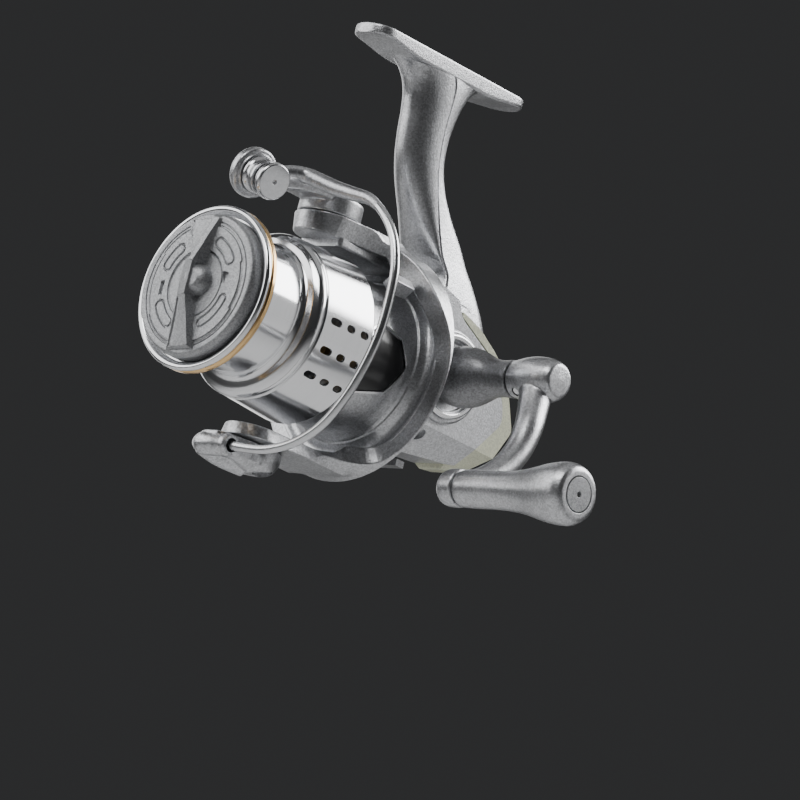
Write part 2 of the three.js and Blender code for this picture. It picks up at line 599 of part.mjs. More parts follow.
// A rod on the fold pin's line, from one side to the other.
const acrossFold = (radius, half, segments = SMALL) =>
  rod(radius, -half, half, segments).rotateX(Math.PI / 2).translate(0, FOLD_X, 0);

// Flat tongue of the handle shaft: the crank folds about the pin through it.
function makeTongue() {
  const stub = rod(3.4, 14.1, BELL_END + 0.2, SMALL);
  const blade = box(-3.5, 3.5, BELL_END + 0.1, FOLD_X, -1.6, 1.6);
  return foldFrame(cut(join(stub, blade, acrossFold(3.5, 1.6)), acrossFold(1.3, 4, TINY)));
}
add('handle_shaft', makeTongue(), STEEL);
add('fold_pin', foldFrame(acrossFold(1.05, 5.3, TINY)), STEEL);

const ARM_PATH = [
  [46, CRANK_Y, CRANK_Z], [48.4, 79.4, -3], [51.2, 76.6, -10], [52.8, 73.4, -17.5], [53.5, 67.6, -25],
  [53.4, 60.2, -31], [52.4, KNOB_Y, KNOB_Z],
];

function makeCrank() {
  const hub = foldFrame(turned([
    [0, BELL_END + 0.4], [4.9, BELL_END + 0.4], [5.5, 39.6], [6.1, 42.5], [6.3, 45.5], [5.9, 49], [4.6, 51.6],
    [2.6, 52.6], [0, 53],
  ], SMALL));
  const arm = bar(ARM_PATH, [4.4, 4.1, 3.8, 3.6, 3.5, 3.7, 3.9], 14, 8);
  const boss = onKnob(turned([
    [0, 49.8], [3, 50.2], [4.6, 51.6], [5, 53.4], [5, 56.4], [0, 56.4],
  ], SMALL));
  const body = join(hub, arm, boss);
  const slot = join(box(-3.9, 16, FOLD_X - 8, FOLD_X + 4, -1.9, 1.9), acrossFold(3.9, 1.9));
  const corner = cut(box(0, 12, FOLD_X - 6, FOLD_X + 0.1, -8, 8), acrossFold(3.75, 9, ROUND));
  const flat = box(3.75, 12, FOLD_X, FOLD_X + 5.8, -8, 8);
  const foldCuts = [slot, corner, flat, acrossFold(1.3, 9, TINY)].map(foldFrame);
  const knobPinHole = onKnob(rod(1.9, 49, 58, TINY));
  return cut(body, ...foldCuts, knobPinHole);
}
add('crank_arm', makeCrank(), PAINT);

const KNOB_START = 56.8;
add('knob_pin', onKnob(join(rod(1.6, 51, 90, TINY), rod(2.6, 90, 91.4, TINY))), STEEL);
add('knob_grip', onKnob(turned([
  [3.2, KNOB_START], [4.6, KNOB_START], [5.1, 59], [5.6, 66], [6.1, 76], [6.9, 84], [8.0, 90], [8.3, 93],
  [7.8, 95.6], [6.6, KNOB_END - 0.3], [4.9, KNOB_END - 0.1], [4.9, 93.6], [3.2, 93.6],
], ROUND)), PAINT);
add('knob_bearing_inner', onKnob(ring(1.9, 2.9, 58, 60.4, TINY)), STEEL);
add('knob_bearing_outer', onKnob(ring(1.9, 2.9, 86.8, 89.2, TINY)), STEEL);
add('knob_cap', onKnob(turned([[0.5, 94], [4.5, 94], [4.5, KNOB_END], [0.5, KNOB_END]], ROUND)), SATIN);

// ---------- rotor ----------
// Front edge of the band round the rotor, as [angle from +X towards +Z, distance behind the lip].
// This is the handle side, from the lower arm up to the upper arm. The far side is its mirror image.
const BAND_EDGE = [
  [-73.6, 38], [-70, 46], [-66, 52.6], [-62, 57.4], [-56, 60.4], [-48, 61.3], [-32, 61.4], [-16, 61.4], [0, 61.4],
  [15, 60.4], [30, 57.6], [45, 55.2], [60, 53.6], [66, 52.6], [70, 46], [73.6, 38],
];
const UNDER_ARM = [[82, 37], [90, 37], [98, 37]];

function makeBand() {
  const farSide = BAND_EDGE.map(([angle, front]) => [180 - angle, front]).reverse();
  const underLowerArm = UNDER_ARM.map(([angle, front]) => [180 + angle, front]);
  const edge = [...BAND_EDGE, ...UNDER_ARM, ...farSide, ...underLowerArm];
  return loft(edge.map(([degrees, front]) => {
    const a = THREE.MathUtils.degToRad(degrees);
    const at = (r, y) => new THREE.Vector3(r * Math.cos(a), y, r * Math.sin(a));
    return [at(BAND_INNER, front), at(BAND_OUTER - 0.8, front), at(BAND_OUTER, front + 0.8),
      at(BAND_OUTER, BAND_SHOULDER), at(BAND_INNER + 1.4, ROTOR_REAR), at(BAND_INNER, ROTOR_REAR)];
  }), true);
}

const ARM_INNER = 25.9;

function armPad(side) {
  const pad = new THREE.Shape();
  const end = side > 0 ? PIVOT_Y : LOWER_ARM_END;
  pad.absarc(0, end, ARM_END_RADIUS, Math.PI, 2 * Math.PI);
  pad.lineTo(9.6, 56);
  pad.lineTo(-9.6, 56);
  const plate = planPlate(pad, 0, BAND_OUTER - ARM_INNER, 0.5);
  return plate.translate(0, 0, side > 0 ? ARM_INNER : -BAND_OUTER);
}

const NUT_FACE = 45;
const PLATE_OUTLINE = [[46.8, 6.4], [53.6, 4.6], [57, -1.8], [53.6, -9], [45, -11.8], [43.2, 3.8]];

// A side outline bent round the rotor's drum, between two radii.
const onDrum = (points, inner, outer) =>
  cut(sidePlate(points, 14, 26), rod(inner, 30, 70, 2 * FINE), ring(outer, 40, 30, 70, 2 * FINE));

function makeRotor() {
  const core = turned([
    [3.6, NUT_FACE], [12, NUT_FACE], [12, 42], [18.8, 42], [18.8, 41.5], [ROTOR_DRUM_RADIUS, 41.5],
    [ROTOR_DRUM_RADIUS, 57.2], [21.8, 59.4], [22.6, 60.2], [23.4, 60.6], [24.6, 61.6], [26.8, 61.8],
    [27.5, 62.4], [27.5, ROTOR_REAR], [21.4, ROTOR_REAR], [19.6, 60], [18.6, 48.4], [3.6, 48.4],
  ], FINE);
  const collar = ring(3.6, 7, 48, 53.6, SMALL);
  const body = join(core, collar, makeBand(), armPad(1), armPad(-1));
  const pivotHoles = [1, -1].map((side) =>
    along(rod(1.7, 24, 34, TINY), new THREE.Vector3(0, 0, side), [0, PIVOT_Y, 0]));
  const springPocket = box(-3.7, 3.7, 41, 57, 24, 29.7);
  const platePocket = onDrum(grown(PLATE_OUTLINE, 0.5, [50, -2.5]), 20.05, 30);
  return cut(body, ...pivotHoles, springPocket, platePocket);
}
add('rotor', makeRotor(), PAINT);
add('rotor_plate', onDrum(PLATE_OUTLINE, 20.3, 20.9), BLACK);
add('rotor_nut', nut(7.2, 3.7, 41.8, NUT_FACE - GAP), BRASS);

// Bail spring, its guide rod and the trip lever, in a pocket under the upper arm.
const SPRING_Z = 27.4;
add('spring_rod', rod(0.7, 42, 56.4, TINY).translate(-1.6, 0, SPRING_Z), STEEL);
add('bail_spring', ring(1.1, 1.9, 45, 55.6, TINY).translate(-1.6, 0, SPRING_Z), STEEL);
add('trip_lever', box(1, 3.2, 42, 56.4, 26.2, 28.6), ZINC);
add('arm_cover', box(-4.6, 4.6, 40, 58, 24.9, 25.5), DARK_PAINT);

// ---------- bail ----------
const CAP_Z = BAND_OUTER + GAP;
const ROLLER_AT = new THREE.Vector3(-0.6, 11.6, 34.4);
const ROLLER_AXIS = new THREE.Vector3(0.95, -0.12, -0.29).normalize();
const onRoller = (geometry) => along(geometry, ROLLER_AXIS, ROLLER_AT.toArray());

const WIRE_PATH = [
  [5, 20, 38.2], [10.2, 21.2, 36.9], [15.3, 21.4, 35.4], [22.5, 21.4, 33.8], [29.6, 21.4, 32.2], [36.4, 21.4, 27.6],
  [41, 21.4, 22],
  [44, 21.4, 14.6], [45, 21.4, 5], [44.6, 21.4, -3.6], [42.2, 21.4, -13], [38, 21.4, -22], [32.6, 21.4, -29],
  [25.4, 21.4, -33.6], [15, 21.4, -36.2], [7, 21.4, -36], [2.6, 21.4, -35.4],
];

function makeBailArm() {
  const cap = planPlate(new THREE.Shape().absarc(0, PIVOT_Y, 8.5, 0, 2 * Math.PI), CAP_Z, CAP_Z + 5, 0.7);
  const lever = loft([
    [[-5, 34, 35.6], [5.6, 36, 35.6], [6.4, 36, 37.6], [3, 34, 38.4], [-5, 34, 37.8]],
    [[-4, 28, 35], [5, 28, 35], [6.4, 28, 37.6], [3.6, 28, 39], [-3.4, 28, 38]],
    [[-1, 20, 34], [3.4, 20, 33.6], [6.2, 20, 36.6], [4.6, 20, 39.4], [-0.6, 20, 37.6]],
    [[-0.4, 12.4, 31.6], [1.9, 12, 31], [2.5, 12, 36.4], [1.5, 12, 37.6], [-0.2, 12.4, 37.4]],
  ].map((section) => section.map((p) => new THREE.Vector3(...p))));
  const eye = onRoller(rod(4.2, 1.3, 2.5, SMALL));
  const root = bar([[2, 14, 36.6], ...WIRE_PATH.slice(0, 4)], [1.9, 2.1, 2, 2, 1.8], 8, TINY);
  const pivotHole = along(rod(1.7, 30, 40, TINY), Z_AXIS, [0, PIVOT_Y, 0]);
  const headHole = along(rod(4.4, CAP_Z + 3.6, 44, SMALL), Z_AXIS, [0, PIVOT_Y, 0]);
  const wireHole = bar(WIRE_PATH.slice(0, 6), [1.5, 1.5], 9, 6);
  const rollerSpace = onRoller(rod(5.2, -9, 1.2, ROUND));
  const headSpace = onRoller(rod(5, 2.6, 9, ROUND));
  const pinSpace = onRoller(rod(1.5, -6, 9, TINY));
  return cut(join(cap, lever, eye, root), pivotHole, headHole, rollerSpace, headSpace, pinSpace, wireHole);
}
add('bail_arm', makeBailArm(), PAINT);
add('bail_wire', bar(WIRE_PATH, [WIRE_RADIUS, WIRE_RADIUS], 30, 7), POLISHED);

function makeLowerLever() {
  const cap = planPlate(new THREE.Shape().absarc(-3.2, 34.6, 8, 0, 2 * Math.PI), -CAP_Z - 6, -CAP_Z, 1.4);
  const pad = new THREE.Shape();
  pad.moveTo(-10.6, 34);
  pad.lineTo(-11.4, 22);
  pad.quadraticCurveTo(-11.2, 17.8, -6.6, 17.6);
  pad.lineTo(2.6, 18);
  pad.quadraticCurveTo(4.6, 18.4, 4.7, 21);
  pad.lineTo(4.2, 34);
  const lever = planPlate(pad, -38.6, -CAP_Z, 1.2);
  const pivotHole = along(rod(1.7, -44, -30, TINY), Z_AXIS, [0, PIVOT_Y, 0]);
  const headHole = along(rod(3.8, -44, -CAP_Z - 3.6, SMALL), Z_AXIS, [0, PIVOT_Y, 0]);
  const wireEnd = [[0.6, 21.4, -35.2], [4, 21.4, -35.6], [12, 21.4, -36.2], [18, 21.4, -35.8]];
  const wireHole = bar(wireEnd, [1.6, 1.6], 4, 6);
  return cut(join(cap, lever), pivotHole, headHole, wireHole);
}
add('lower_bail_lever', makeLowerLever(), PAINT);

for (const [name, side, head] of [['upper_pivot_screw', 1, 4], ['lower_pivot_screw', -1, 3.4]]) {
  const screw = join(rod(1.4, 26.4, 36.2, TINY), rod(head, 36.2, 37.1, SMALL));
  add(name, along(screw, new THREE.Vector3(0, 0, side), [0, PIVOT_Y, 0]), STEEL);
}

const rollerHead = turned([[0, 2.8], [4.2, 2.8], [4.65, 3.4], [4.65, 4.3], [4.2, 4.8], [0, 4.8]], SMALL);
add('roller_pin', onRoller(join(rod(1.25, -7, 2.9, TINY), rollerHead)), POLISHED);
add('line_roller', onRoller(turned([
  [2.2, -3.4], [4.6, -3.4], [4.4, -2.6], [3.7, -1.6], [3.7, -0.8], [4.2, 0.2], [4.3, 1.0], [2.2, 1.0],
], ROUND)), POLISHED);
add('roller_bearing', onRoller(ring(1.45, 1.95, -3, 0.8, TINY)), GOLD);
add('roller_cup', onRoller(turned([
  [1.5, -3.8], [5.6, -3.8], [6.5, -4.4], [6.5, -6.6], [5.6, -7.8], [1.5, -7.8],
], ROUND)), PAINT);

export default reel;
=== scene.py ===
import json
import math

import bmesh
import bpy
import numpy as np
from mathutils import Matrix, Vector


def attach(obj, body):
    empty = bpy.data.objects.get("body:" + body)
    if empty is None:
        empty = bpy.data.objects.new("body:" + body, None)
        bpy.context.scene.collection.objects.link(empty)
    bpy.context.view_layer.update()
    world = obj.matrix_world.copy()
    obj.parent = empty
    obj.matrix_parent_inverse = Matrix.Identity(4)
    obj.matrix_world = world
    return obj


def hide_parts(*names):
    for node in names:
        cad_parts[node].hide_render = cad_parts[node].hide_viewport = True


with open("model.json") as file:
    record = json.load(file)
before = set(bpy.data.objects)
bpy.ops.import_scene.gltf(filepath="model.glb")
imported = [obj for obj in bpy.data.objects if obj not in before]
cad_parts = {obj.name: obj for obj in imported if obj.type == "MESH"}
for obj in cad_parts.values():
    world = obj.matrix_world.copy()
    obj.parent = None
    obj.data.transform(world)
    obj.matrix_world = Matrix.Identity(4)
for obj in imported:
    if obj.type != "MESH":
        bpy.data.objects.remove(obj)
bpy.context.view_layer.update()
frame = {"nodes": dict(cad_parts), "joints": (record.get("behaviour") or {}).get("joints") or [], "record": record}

# Shapes are written in millimetres from the centre of the spool's front lip:
# +X towards the handle, +Y backwards along the spool, +Z towards the rod foot.
MM = 0.001
JOINTS = {joint["name"]: joint for joint in frame["joints"]}
LIP = Vector(JOINTS["rotor_spin"]["pos_m"])


def joint_point(name):
    return (Vector(JOINTS[name]["pos_m"]) - LIP) / MM


CRANK = joint_point("handle_crank")
FOLD = joint_point("handle_fold")
KNOB = joint_point("knob_spin")
PIVOT = joint_point("bail_swing")
ROLLER = joint_point("line_roller_spin")
ROLLER_AXIS = Vector(JOINTS["line_roller_spin"]["axis"])
ARM_DOWN = -Vector(JOINTS["handle_fold"]["axis"])
X_AXIS = Vector((1, 0, 0))
Y_AXIS = Vector((0, 1, 0))
Z_AXIS = Vector((0, 0, 1))
TURN = 2 * math.pi


# ---------- materials ----------
def mapped(links, nodes, source, low, high):
    """A node that turns a 0 to 1 value into low to high."""
    node = nodes.new("ShaderNodeMapRange")
    node.inputs["To Min"].default_value = low
    node.inputs["To Max"].default_value = high
    links.new(source, node.inputs["Value"])
    return node.outputs["Result"]


def ring_coordinates(links, nodes, place):
    """Coordinates that stay the same all the way round the spool axis."""
    shift = nodes.new("ShaderNodeVectorMath")
    shift.operation = "SUBTRACT"
    shift.inputs[1].default_value = LIP
    links.new(place, shift.inputs[0])
    parts = nodes.new("ShaderNodeSeparateXYZ")
    links.new(shift.outputs[0], parts.inputs[0])
    flat = nodes.new("ShaderNodeCombineXYZ")
    links.new(parts.outputs["X"], flat.inputs["X"])
    links.new(parts.outputs["Z"], flat.inputs["Y"])
    length = nodes.new("ShaderNodeVectorMath")
    length.operation = "LENGTH"
    links.new(flat.outputs[0], length.inputs[0])
    rings = nodes.new("ShaderNodeCombineXYZ")
    links.new(length.outputs["Value"], rings.inputs["X"])
    links.new(parts.outputs["Y"], rings.inputs["Y"])
    return rings.outputs[0]


def surface(name, color, roughness, metallic=1.0, fleck=0.0, cell=0.45, grain=0.0, grain_size=0.4,
            uneven=0.03, coat=0.0, turned=False):
    """A procedural finish: flecks of colour, fine grain in the bump and uneven gloss. Sizes in mm."""
    material = bpy.data.materials.new(name)
    material.use_nodes = True
    nodes, links = material.node_tree.nodes, material.node_tree.links
    shader = nodes["Principled BSDF"]
    shader.inputs["Metallic"].default_value = metallic
    shader.inputs["Coat Weight"].default_value = coat
    shader.inputs["Coat Roughness"].default_value = 0.12
    place = nodes.new("ShaderNodeTexCoord").outputs["Object"]
    fine_place = ring_coordinates(links, nodes, place) if turned else place

    cells = nodes.new("ShaderNodeTexVoronoi")
    cells.inputs["Scale"].default_value = 1 / (cell * MM)
    links.new(fine_place, cells.inputs["Vector"])
    split = nodes.new("ShaderNodeSeparateColor")
    links.new(cells.outputs["Color"], split.inputs[0])
    mix = nodes.new("ShaderNodeMix")
    mix.data_type = "RGBA"
    mix.inputs["A"].default_value = [c * (1 - fleck) for c in color] + [1]
    mix.inputs["B"].default_value = [min(1, c * (1 + fleck)) for c in color] + [1]
    links.new(split.outputs["Red"], mix.inputs["Factor"])
    links.new(mix.outputs["Result"], shader.inputs["Base Color"])

    cloud = nodes.new("ShaderNodeTexNoise")
    cloud.inputs["Scale"].default_value = 90
    cloud.inputs["Detail"].default_value = 3
    links.new(place, cloud.inputs["Vector"])
    gloss = mapped(links, nodes, cloud.outputs["Fac"], roughness - uneven, roughness + uneven)
    links.new(gloss, shader.inputs["Roughness"])

    noise = nodes.new("ShaderNodeTexNoise")
    noise.inputs["Scale"].default_value = 1 / (grain_size * MM)
    noise.inputs["Detail"].default_value = 2
    links.new(fine_place, noise.inputs["Vector"])
    bump = nodes.new("ShaderNodeBump")
    bump.inputs["Strength"].default_value = grain
    bump.inputs["Distance"].default_value = grain_size * MM * 0.4
    links.new(noise.outputs["Fac"], bump.inputs["Height"])
    links.new(bump.outputs["Normal"], shader.inputs["Normal"])
    return material


FINISHES = {
    "silver_paint": surface("silver_paint", (0.52, 0.525, 0.54), 0.34, 0.95, 0.22, 0.42, 0.35, 0.5, 0.04),
    "dark_paint": surface("dark_paint", (0.23, 0.232, 0.24), 0.38, 0.85, 0.25, 0.42, 0.25, 0.5, 0.04),
    "polished_alloy": surface("polished_alloy", (0.80, 0.805, 0.82), 0.13, 1.0, 0.02, 0.3, 0.10, 0.12,
                              0.03, turned=True),
    "steel": surface("steel", (0.66, 0.665, 0.68), 0.24, 1.0, 0.04, 0.6, 0.05, 0.6, 0.04),
    "gold_ring": surface("gold_ring", (0.83, 0.56, 0.27), 0.17, 1.0, 0.04, 0.3, 0.06, 0.12,
                         0.03, turned=True),
    "satin_grey": surface("satin_grey", (0.36, 0.365, 0.375), 0.46, 0.85, 0.25, 0.35, 0.6, 0.35, 0.05),
    "black_label": surface("black_label", (0.006, 0.006, 0.007), 0.22, 0.0, 0.3, 1.5, 0.05, 0.8, 0.06, 0.4),
    "champagne": surface("champagne", (0.60, 0.61, 0.47), 0.36, 0.45, 0.12, 0.4, 0.25, 0.5, 0.05),
    "brass": surface("brass", (0.62, 0.43, 0.17), 0.28, 1.0, 0.06, 0.5, 0.1, 0.3, 0.05),
    "zinc_alloy": surface("zinc_alloy", (0.36, 0.365, 0.37), 0.42, 1.0, 0.12, 0.5, 0.3, 0.5, 0.06),
    "felt": surface("felt", (0.06, 0.055, 0.048), 0.85, 0.0, 0.4, 0.25, 0.8, 0.3, 0.05),
}
SLOT_OF = {row["node"]: row["material_slot"] for row in frame["record"]["subparts"]}
for node_name, node in frame["nodes"].items():
    node.data.materials.clear()
    node.data.materials.append(FINISHES[SLOT_OF[node_name]])


# ---------- curves and outlines ----------
def spline(points, count):
    """A smooth curve through points of any dimension, sampled evenly along its length."""
    p = np.array(points, float)
    knots = np.concatenate([[0], np.cumsum(np.linalg.norm(np.diff(p[:, :3], axis=0), axis=1))])
    slopes = np.gradient(p, knots, axis=0)
    places = np.linspace(0, knots[-1], count)
    which = np.clip(np.searchsorted(knots, places, side="right") - 1, 0, len(knots) - 2)
    span = (knots[which + 1] - knots[which])[:, None]
    t = (places - knots[which])[:, None] / span
    return (
        (2 * t**3 - 3 * t**2 + 1) * p[which]
        + (t**3 - 2 * t**2 + t) * span * slopes[which]
        + (3 * t**2 - 2 * t**3) * p[which + 1]
        + (t**3 - t**2) * span * slopes[which + 1]
    )


def fillet(points, radius, steps=4, closed=True):
    """A 2-D outline with its corners rounded. A point may carry its own radius as a third number."""
    out = []
    last = len(points) - 1
    for i, corner in enumerate(points):
        here = np.array(corner[:2], float)
        own = corner[2] if len(corner) > 2 else radius
        if own == 0 or (not closed and i in (0, last)):
            out.append(here)
            continue
        before = np.array(points[i - 1][:2], float) - here
        after = np.array(points[(i + 1) % len(points)][:2], float) - here
        reach = min(own, 0.45 * np.linalg.norm(before), 0.45 * np.linalg.norm(after))
        start = here + before / np.linalg.norm(before) * reach
        end = here + after / np.linalg.norm(after) * reach
        for k in range(steps + 1):
            t = k / steps
            out.append((1 - t) ** 2 * start + 2 * t * (1 - t) * here + t**2 * end)
    return out


def arc(middle, radius, start, end, steps=24):
    """Points on a circle, from one angle in degrees to another."""
    angles = np.radians(np.linspace(start, end, steps + 1))
    return [(middle[0] + radius * math.cos(a), middle[1] + radius * math.sin(a)) for a in angles]


def smoothstep(low, high, value):
    t = np.clip((np.asarray(value, float) - low) / (high - low), 0, 1)
    return t * t * (3 - 2 * t)


# ---------- meshes ----------
def tidy(bm, weld=1e-4):
    bmesh.ops.remove_doubles(bm, verts=bm.verts, dist=weld)
    bmesh.ops.dissolve_degenerate(bm, edges=bm.edges, dist=weld / 10)
    loose = [v for v in bm.verts if not v.link_faces]
    bmesh.ops.delete(bm, geom=loose, context="VERTS")
    bmesh.ops.recalc_face_normals(bm, faces=bm.faces)
    return bm


def grid_mesh(rows, closed_rows, closed_columns):
    """Faces over a grid of points, each row with the same count."""
    bm = bmesh.new()
    verts = [[bm.verts.new(point) for point in row] for row in rows]
    count = len(rows[0])
    for i in range(len(rows) if closed_rows else len(rows) - 1):
        here, there = verts[i], verts[(i + 1) % len(rows)]
        for j in range(count if closed_columns else count - 1):
            k = (j + 1) % count
            bm.faces.new((here[j], here[k], there[k], there[j]))
    return bm, verts


def lathe(profile, segments=128, radius=0.25, steps=4):
    """A profile of [radius, distance] turned round the Y axis, with its corners rounded."""
    on_axis = profile[0][0] == 0
    points = fillet(profile, radius, steps, closed=not on_axis)
    angles = [TURN * i / segments for i in range(segments)]
    rows = [[(r * math.cos(a), y, r * math.sin(a)) for r, y in points] for a in angles]
    bm, _ = grid_mesh(rows, True, not on_axis)
    return tidy(bm)


def moved(bm, direction=None, at=(0, 0, 0)):
    """The mesh, its Y axis turned to a direction, then moved."""
    if direction is not None:
        turn = Y_AXIS.rotation_difference(Vector(direction))
        bm.transform(turn.to_matrix().to_4x4())
    bm.transform(Matrix.Translation(Vector(at)))
    return bm


def on_crank(bm):
    return moved(bm, X_AXIS, (0, CRANK.y, CRANK.z))


def on_knob(bm):
    return moved(bm, X_AXIS, (0, KNOB.y, KNOB.z))


def on_roller(bm):
    return moved(bm, ROLLER_AXIS, ROLLER)


PLANES = {"YZ": (1, 2, 0), "XY": (0, 1, 2), "XZ": (0, 2, 1)}


def plate(outline, low, high, plane, bevel=0.5, segments=3):
    """An outline in a plane, given thickness across it, with its rim rounded."""
    a, b, c = PLANES[plane]
    bm = bmesh.new()
    loops = []
    for level in (low, high):
        loop = []
        for point in outline:
            place = [0.0, 0.0, 0.0]
            place[a], place[b], place[c] = point[0], point[1], level
            loop.append(bm.verts.new(place))
        loops.append(loop)
    caps = [bm.faces.new(loop) for loop in loops]
    for j in range(len(outline)):
        k = (j + 1) % len(outline)
        bm.faces.new((loops[0][j], loops[0][k], loops[1][k], loops[1][j]))
    if bevel:
        rim = [edge for cap in caps for edge in cap.edges]
        bmesh.ops.bevel(bm, geom=rim, offset=bevel, segments=segments, profile=0.5, affect="EDGES",
                        clamp_overlap=True)
    return tidy(bm)


def tube(points, radii, count=90, sides=28):
    """A round bar along a smooth curve whose radius changes on the way."""
    data = [list(p) + [r] for p, r in zip(points, radii)]
    path = spline(data, count)
    centres = [Vector(p[:3]) for p in path]
    side = None
    rows = []
    for i, centre in enumerate(centres):
        ahead = (centres[min(i + 1, count - 1)] - centres[max(i - 1, 0)]).normalized()
        if side is None:
            side = ahead.orthogonal()
        side = (side - ahead * side.dot(ahead)).normalized()
        other = ahead.cross(side)
        radius = path[i][3]
        rows.append([
            centre
            + side * (radius * math.cos(TURN * j / sides))
            + other * (radius * math.sin(TURN * j / sides))
            for j in range(sides)
        ])
    bm, verts = grid_mesh(rows, False, True)
    bm.faces.new(verts[0])
    bm.faces.new(verts[-1])
    return tidy(bm)


def loft(sections, count=60):
    """A smooth skin over sections with the same number of points, closed by a cap at both ends."""
    table = np.array(sections, float)
    flat = table.reshape(len(table), -1)
    middle = table.mean(axis=1)
    path = spline(np.hstack([middle, flat]), count)[:, 3:]
    rows = [[Vector(p) for p in row.reshape(-1, 3)] for row in path]
    bm, verts = grid_mesh(rows, False, True)
    bm.faces.new(verts[0])
    bm.faces.new(verts[-1])
    return tidy(bm)


def merged(*meshes):
    """Several meshes as one, without joining their surfaces."""
    result = bmesh.new()
    for bm in meshes:
        data = bpy.data.meshes.new("part")
        bm.to_mesh(data)
        result.from_mesh(data)
        bpy.data.meshes.remove(data)
    return result


def temporary(bm):
    data = bpy.data.meshes.new("temporary")
    bm.to_mesh(data)
    obj = bpy.data.objects.new("temporary", data)
    bpy.context.scene.collection.objects.link(obj)
    return obj


def evaluated(obj, others=()):
    """The mesh an object has after its modifiers. The object and its helpers are then removed."""
    bpy.context.view_layer.update()
    shown = obj.evaluated_get(bpy.context.evaluated_depsgraph_get())
    bm = bmesh.new()
    bm.from_mesh(shown.to_mesh())
    shown.to_mesh_clear()
    for old in (obj, *others):
        data = old.data
        bpy.data.objects.remove(old)
        bpy.data.meshes.remove(data)
    return bm


def boolean(base, *tools, operation="DIFFERENCE"):
    """The base with each tool cut away, joined on, or used to trim it."""
    obj = temporary(base)
    others = [temporary(tool) for tool in tools]
    for other in others:
        modifier = obj.modifiers.new("boolean", "BOOLEAN")
        modifier.object = other
        modifier.operation = operation
        modifier.solver = "MANIFOLD"
    return evaluated(obj, others)


def fused(voxel, relax, *meshes):
    """Meshes melted into one casting with soft inner corners."""
    obj = temporary(merged(*meshes))
    remesh = obj.modifiers.new("remesh", "REMESH")
    remesh.mode = "VOXEL"
    remesh.voxel_size = voxel
    smooth = obj.modifiers.new("smooth", "SMOOTH")
    smooth.factor = 0.5
    smooth.iterations = relax
    return evaluated(obj)


def sliced(bm, point, normal):
    """The mesh with everything on the far side of a plane cut away and the cut closed."""
    geometry = list(bm.verts) + list(bm.edges) + list(bm.faces)
    cut = bmesh.ops.bisect_plane(bm, geom=geometry, plane_co=point, plane_no=normal, clear_outer=True)
    edges = [g for g in cut["geom_cut"] if isinstance(g, bmesh.types.BMEdge)]
    bmesh.ops.contextual_create(bm, geom=edges)
    return tidy(bm)


def rounded_edges(bm, width, angle=28, segments=2):
    """Rounds every edge sharper than an angle."""
    limit = math.radians(angle)
    sharp = [e for e in bm.edges if len(e.link_faces) == 2 and e.calc_face_angle() > limit]
    bmesh.ops.bevel(bm, geom=sharp, offset=width, segments=segments, profile=0.5, affect="EDGES",
                    clamp_overlap=True)
    return tidy(bm)


def piece(name, bm, body, slot, nodes=(), sharp=32):
    """A finished piece of the reel. It rides on a CAD body and stands for CAD nodes."""
    bm.transform(Matrix.Translation(LIP) @ Matrix.Scale(MM, 4))
    data = bpy.data.meshes.new(name)
    bm.to_mesh(data)
    bm.free()
    data.shade_smooth()
    data.set_sharp_from_angle(angle=math.radians(sharp))
    data.materials.append(FINISHES[slot])
    obj = bpy.data.objects.new(name, data)
    bpy.context.scene.collection.objects.link(obj)
    weighted = obj.modifiers.new("weighted", "WEIGHTED_NORMAL")
    weighted.keep_sharp = True
    if nodes:
        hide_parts(*nodes)
    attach(obj, body)
    return obj


# ---------- spool ----------
SPOOL_PROFILE = [
    (3.9, 26), (3.9, 13), (14.6, 13), (14.6, 1.6), (20.1, 1.6), (20.1, 0.3), (21.1, -0.7, 0.4),
    (22.0, -0.8, 0.5), (22.5, -0.2, 0.4), (22.5, 0.7, 0.2), (22.15, 0.95, 0.1), (20.6, 0.95),
    (20.6, 3.4), (18.8, 3.5, 0.3), (18, 4.4, 0.5), (18, 17.6, 1.2), (18.7, 18.7, 0.6), (20.6, 19.3, 0.4),
    (21.9, 20.1, 0.5), (22.6, 21.1, 0.6), (22.55, 22.2, 0.3), (22.1, 22.55, 0.1), (22.1, 22.8, 0.1),
    (22.62, 23.1, 0.15), (23.5, 40.1, 0.2), (23.3, 40.5, 0.15), (22.7, 40.5), (21.9, 24.6), (16.4, 24.6),
    (16.4, 15), (7.2, 15), (7.2, 26),
]
SLOT_ROWS = [(27.1, 4.1), (32.6, 3.0), (37.6, 3.0)]  # distance behind the lip, length
SLOT_ANGLES = [1.5, -18.5, -37.5]
SLOT_PATCHES = [0, 120, 240]


def skirt_slots():
    cutters = []
    for patch in SLOT_PATCHES:
        for angle in SLOT_ANGLES:
            for middle, length in SLOT_ROWS:
                half = length / 2 - 1
                outline = arc((middle + half, 0), 1, -90, 90, 8) + arc((middle - half, 0), 1, 90, 270, 8)
                cutter = plate(outline, 19.6, 25, "YZ", bevel=0)
                cutter.transform(Matrix.Rotation(-math.radians(angle + patch), 4, "Y"))
                cutters.append(cutter)
    return cutters


spool = boolean(lathe(SPOOL_PROFILE, 180, 0.15, 3), merged(*skirt_slots()))
piece("spool_body", spool, "spool_unit", "polished_alloy", ["spool"])
gold = lathe([
    (20.9, 1.2), (22.0, 1.15, 0.2), (22.5, 1.5, 0.3), (22.5, 2.8, 0.4), (22.0, 3.15, 0.2), (20.9, 3.1),
], 180)
piece("gold_lip_ring", gold, "spool_unit", "gold_ring", ["lip_ring"])

# ---------- drag knob: a relief worked into the face of a turned disc ----------
KNOB_FACE = -3.5
KNOB_EDGE = 18.2


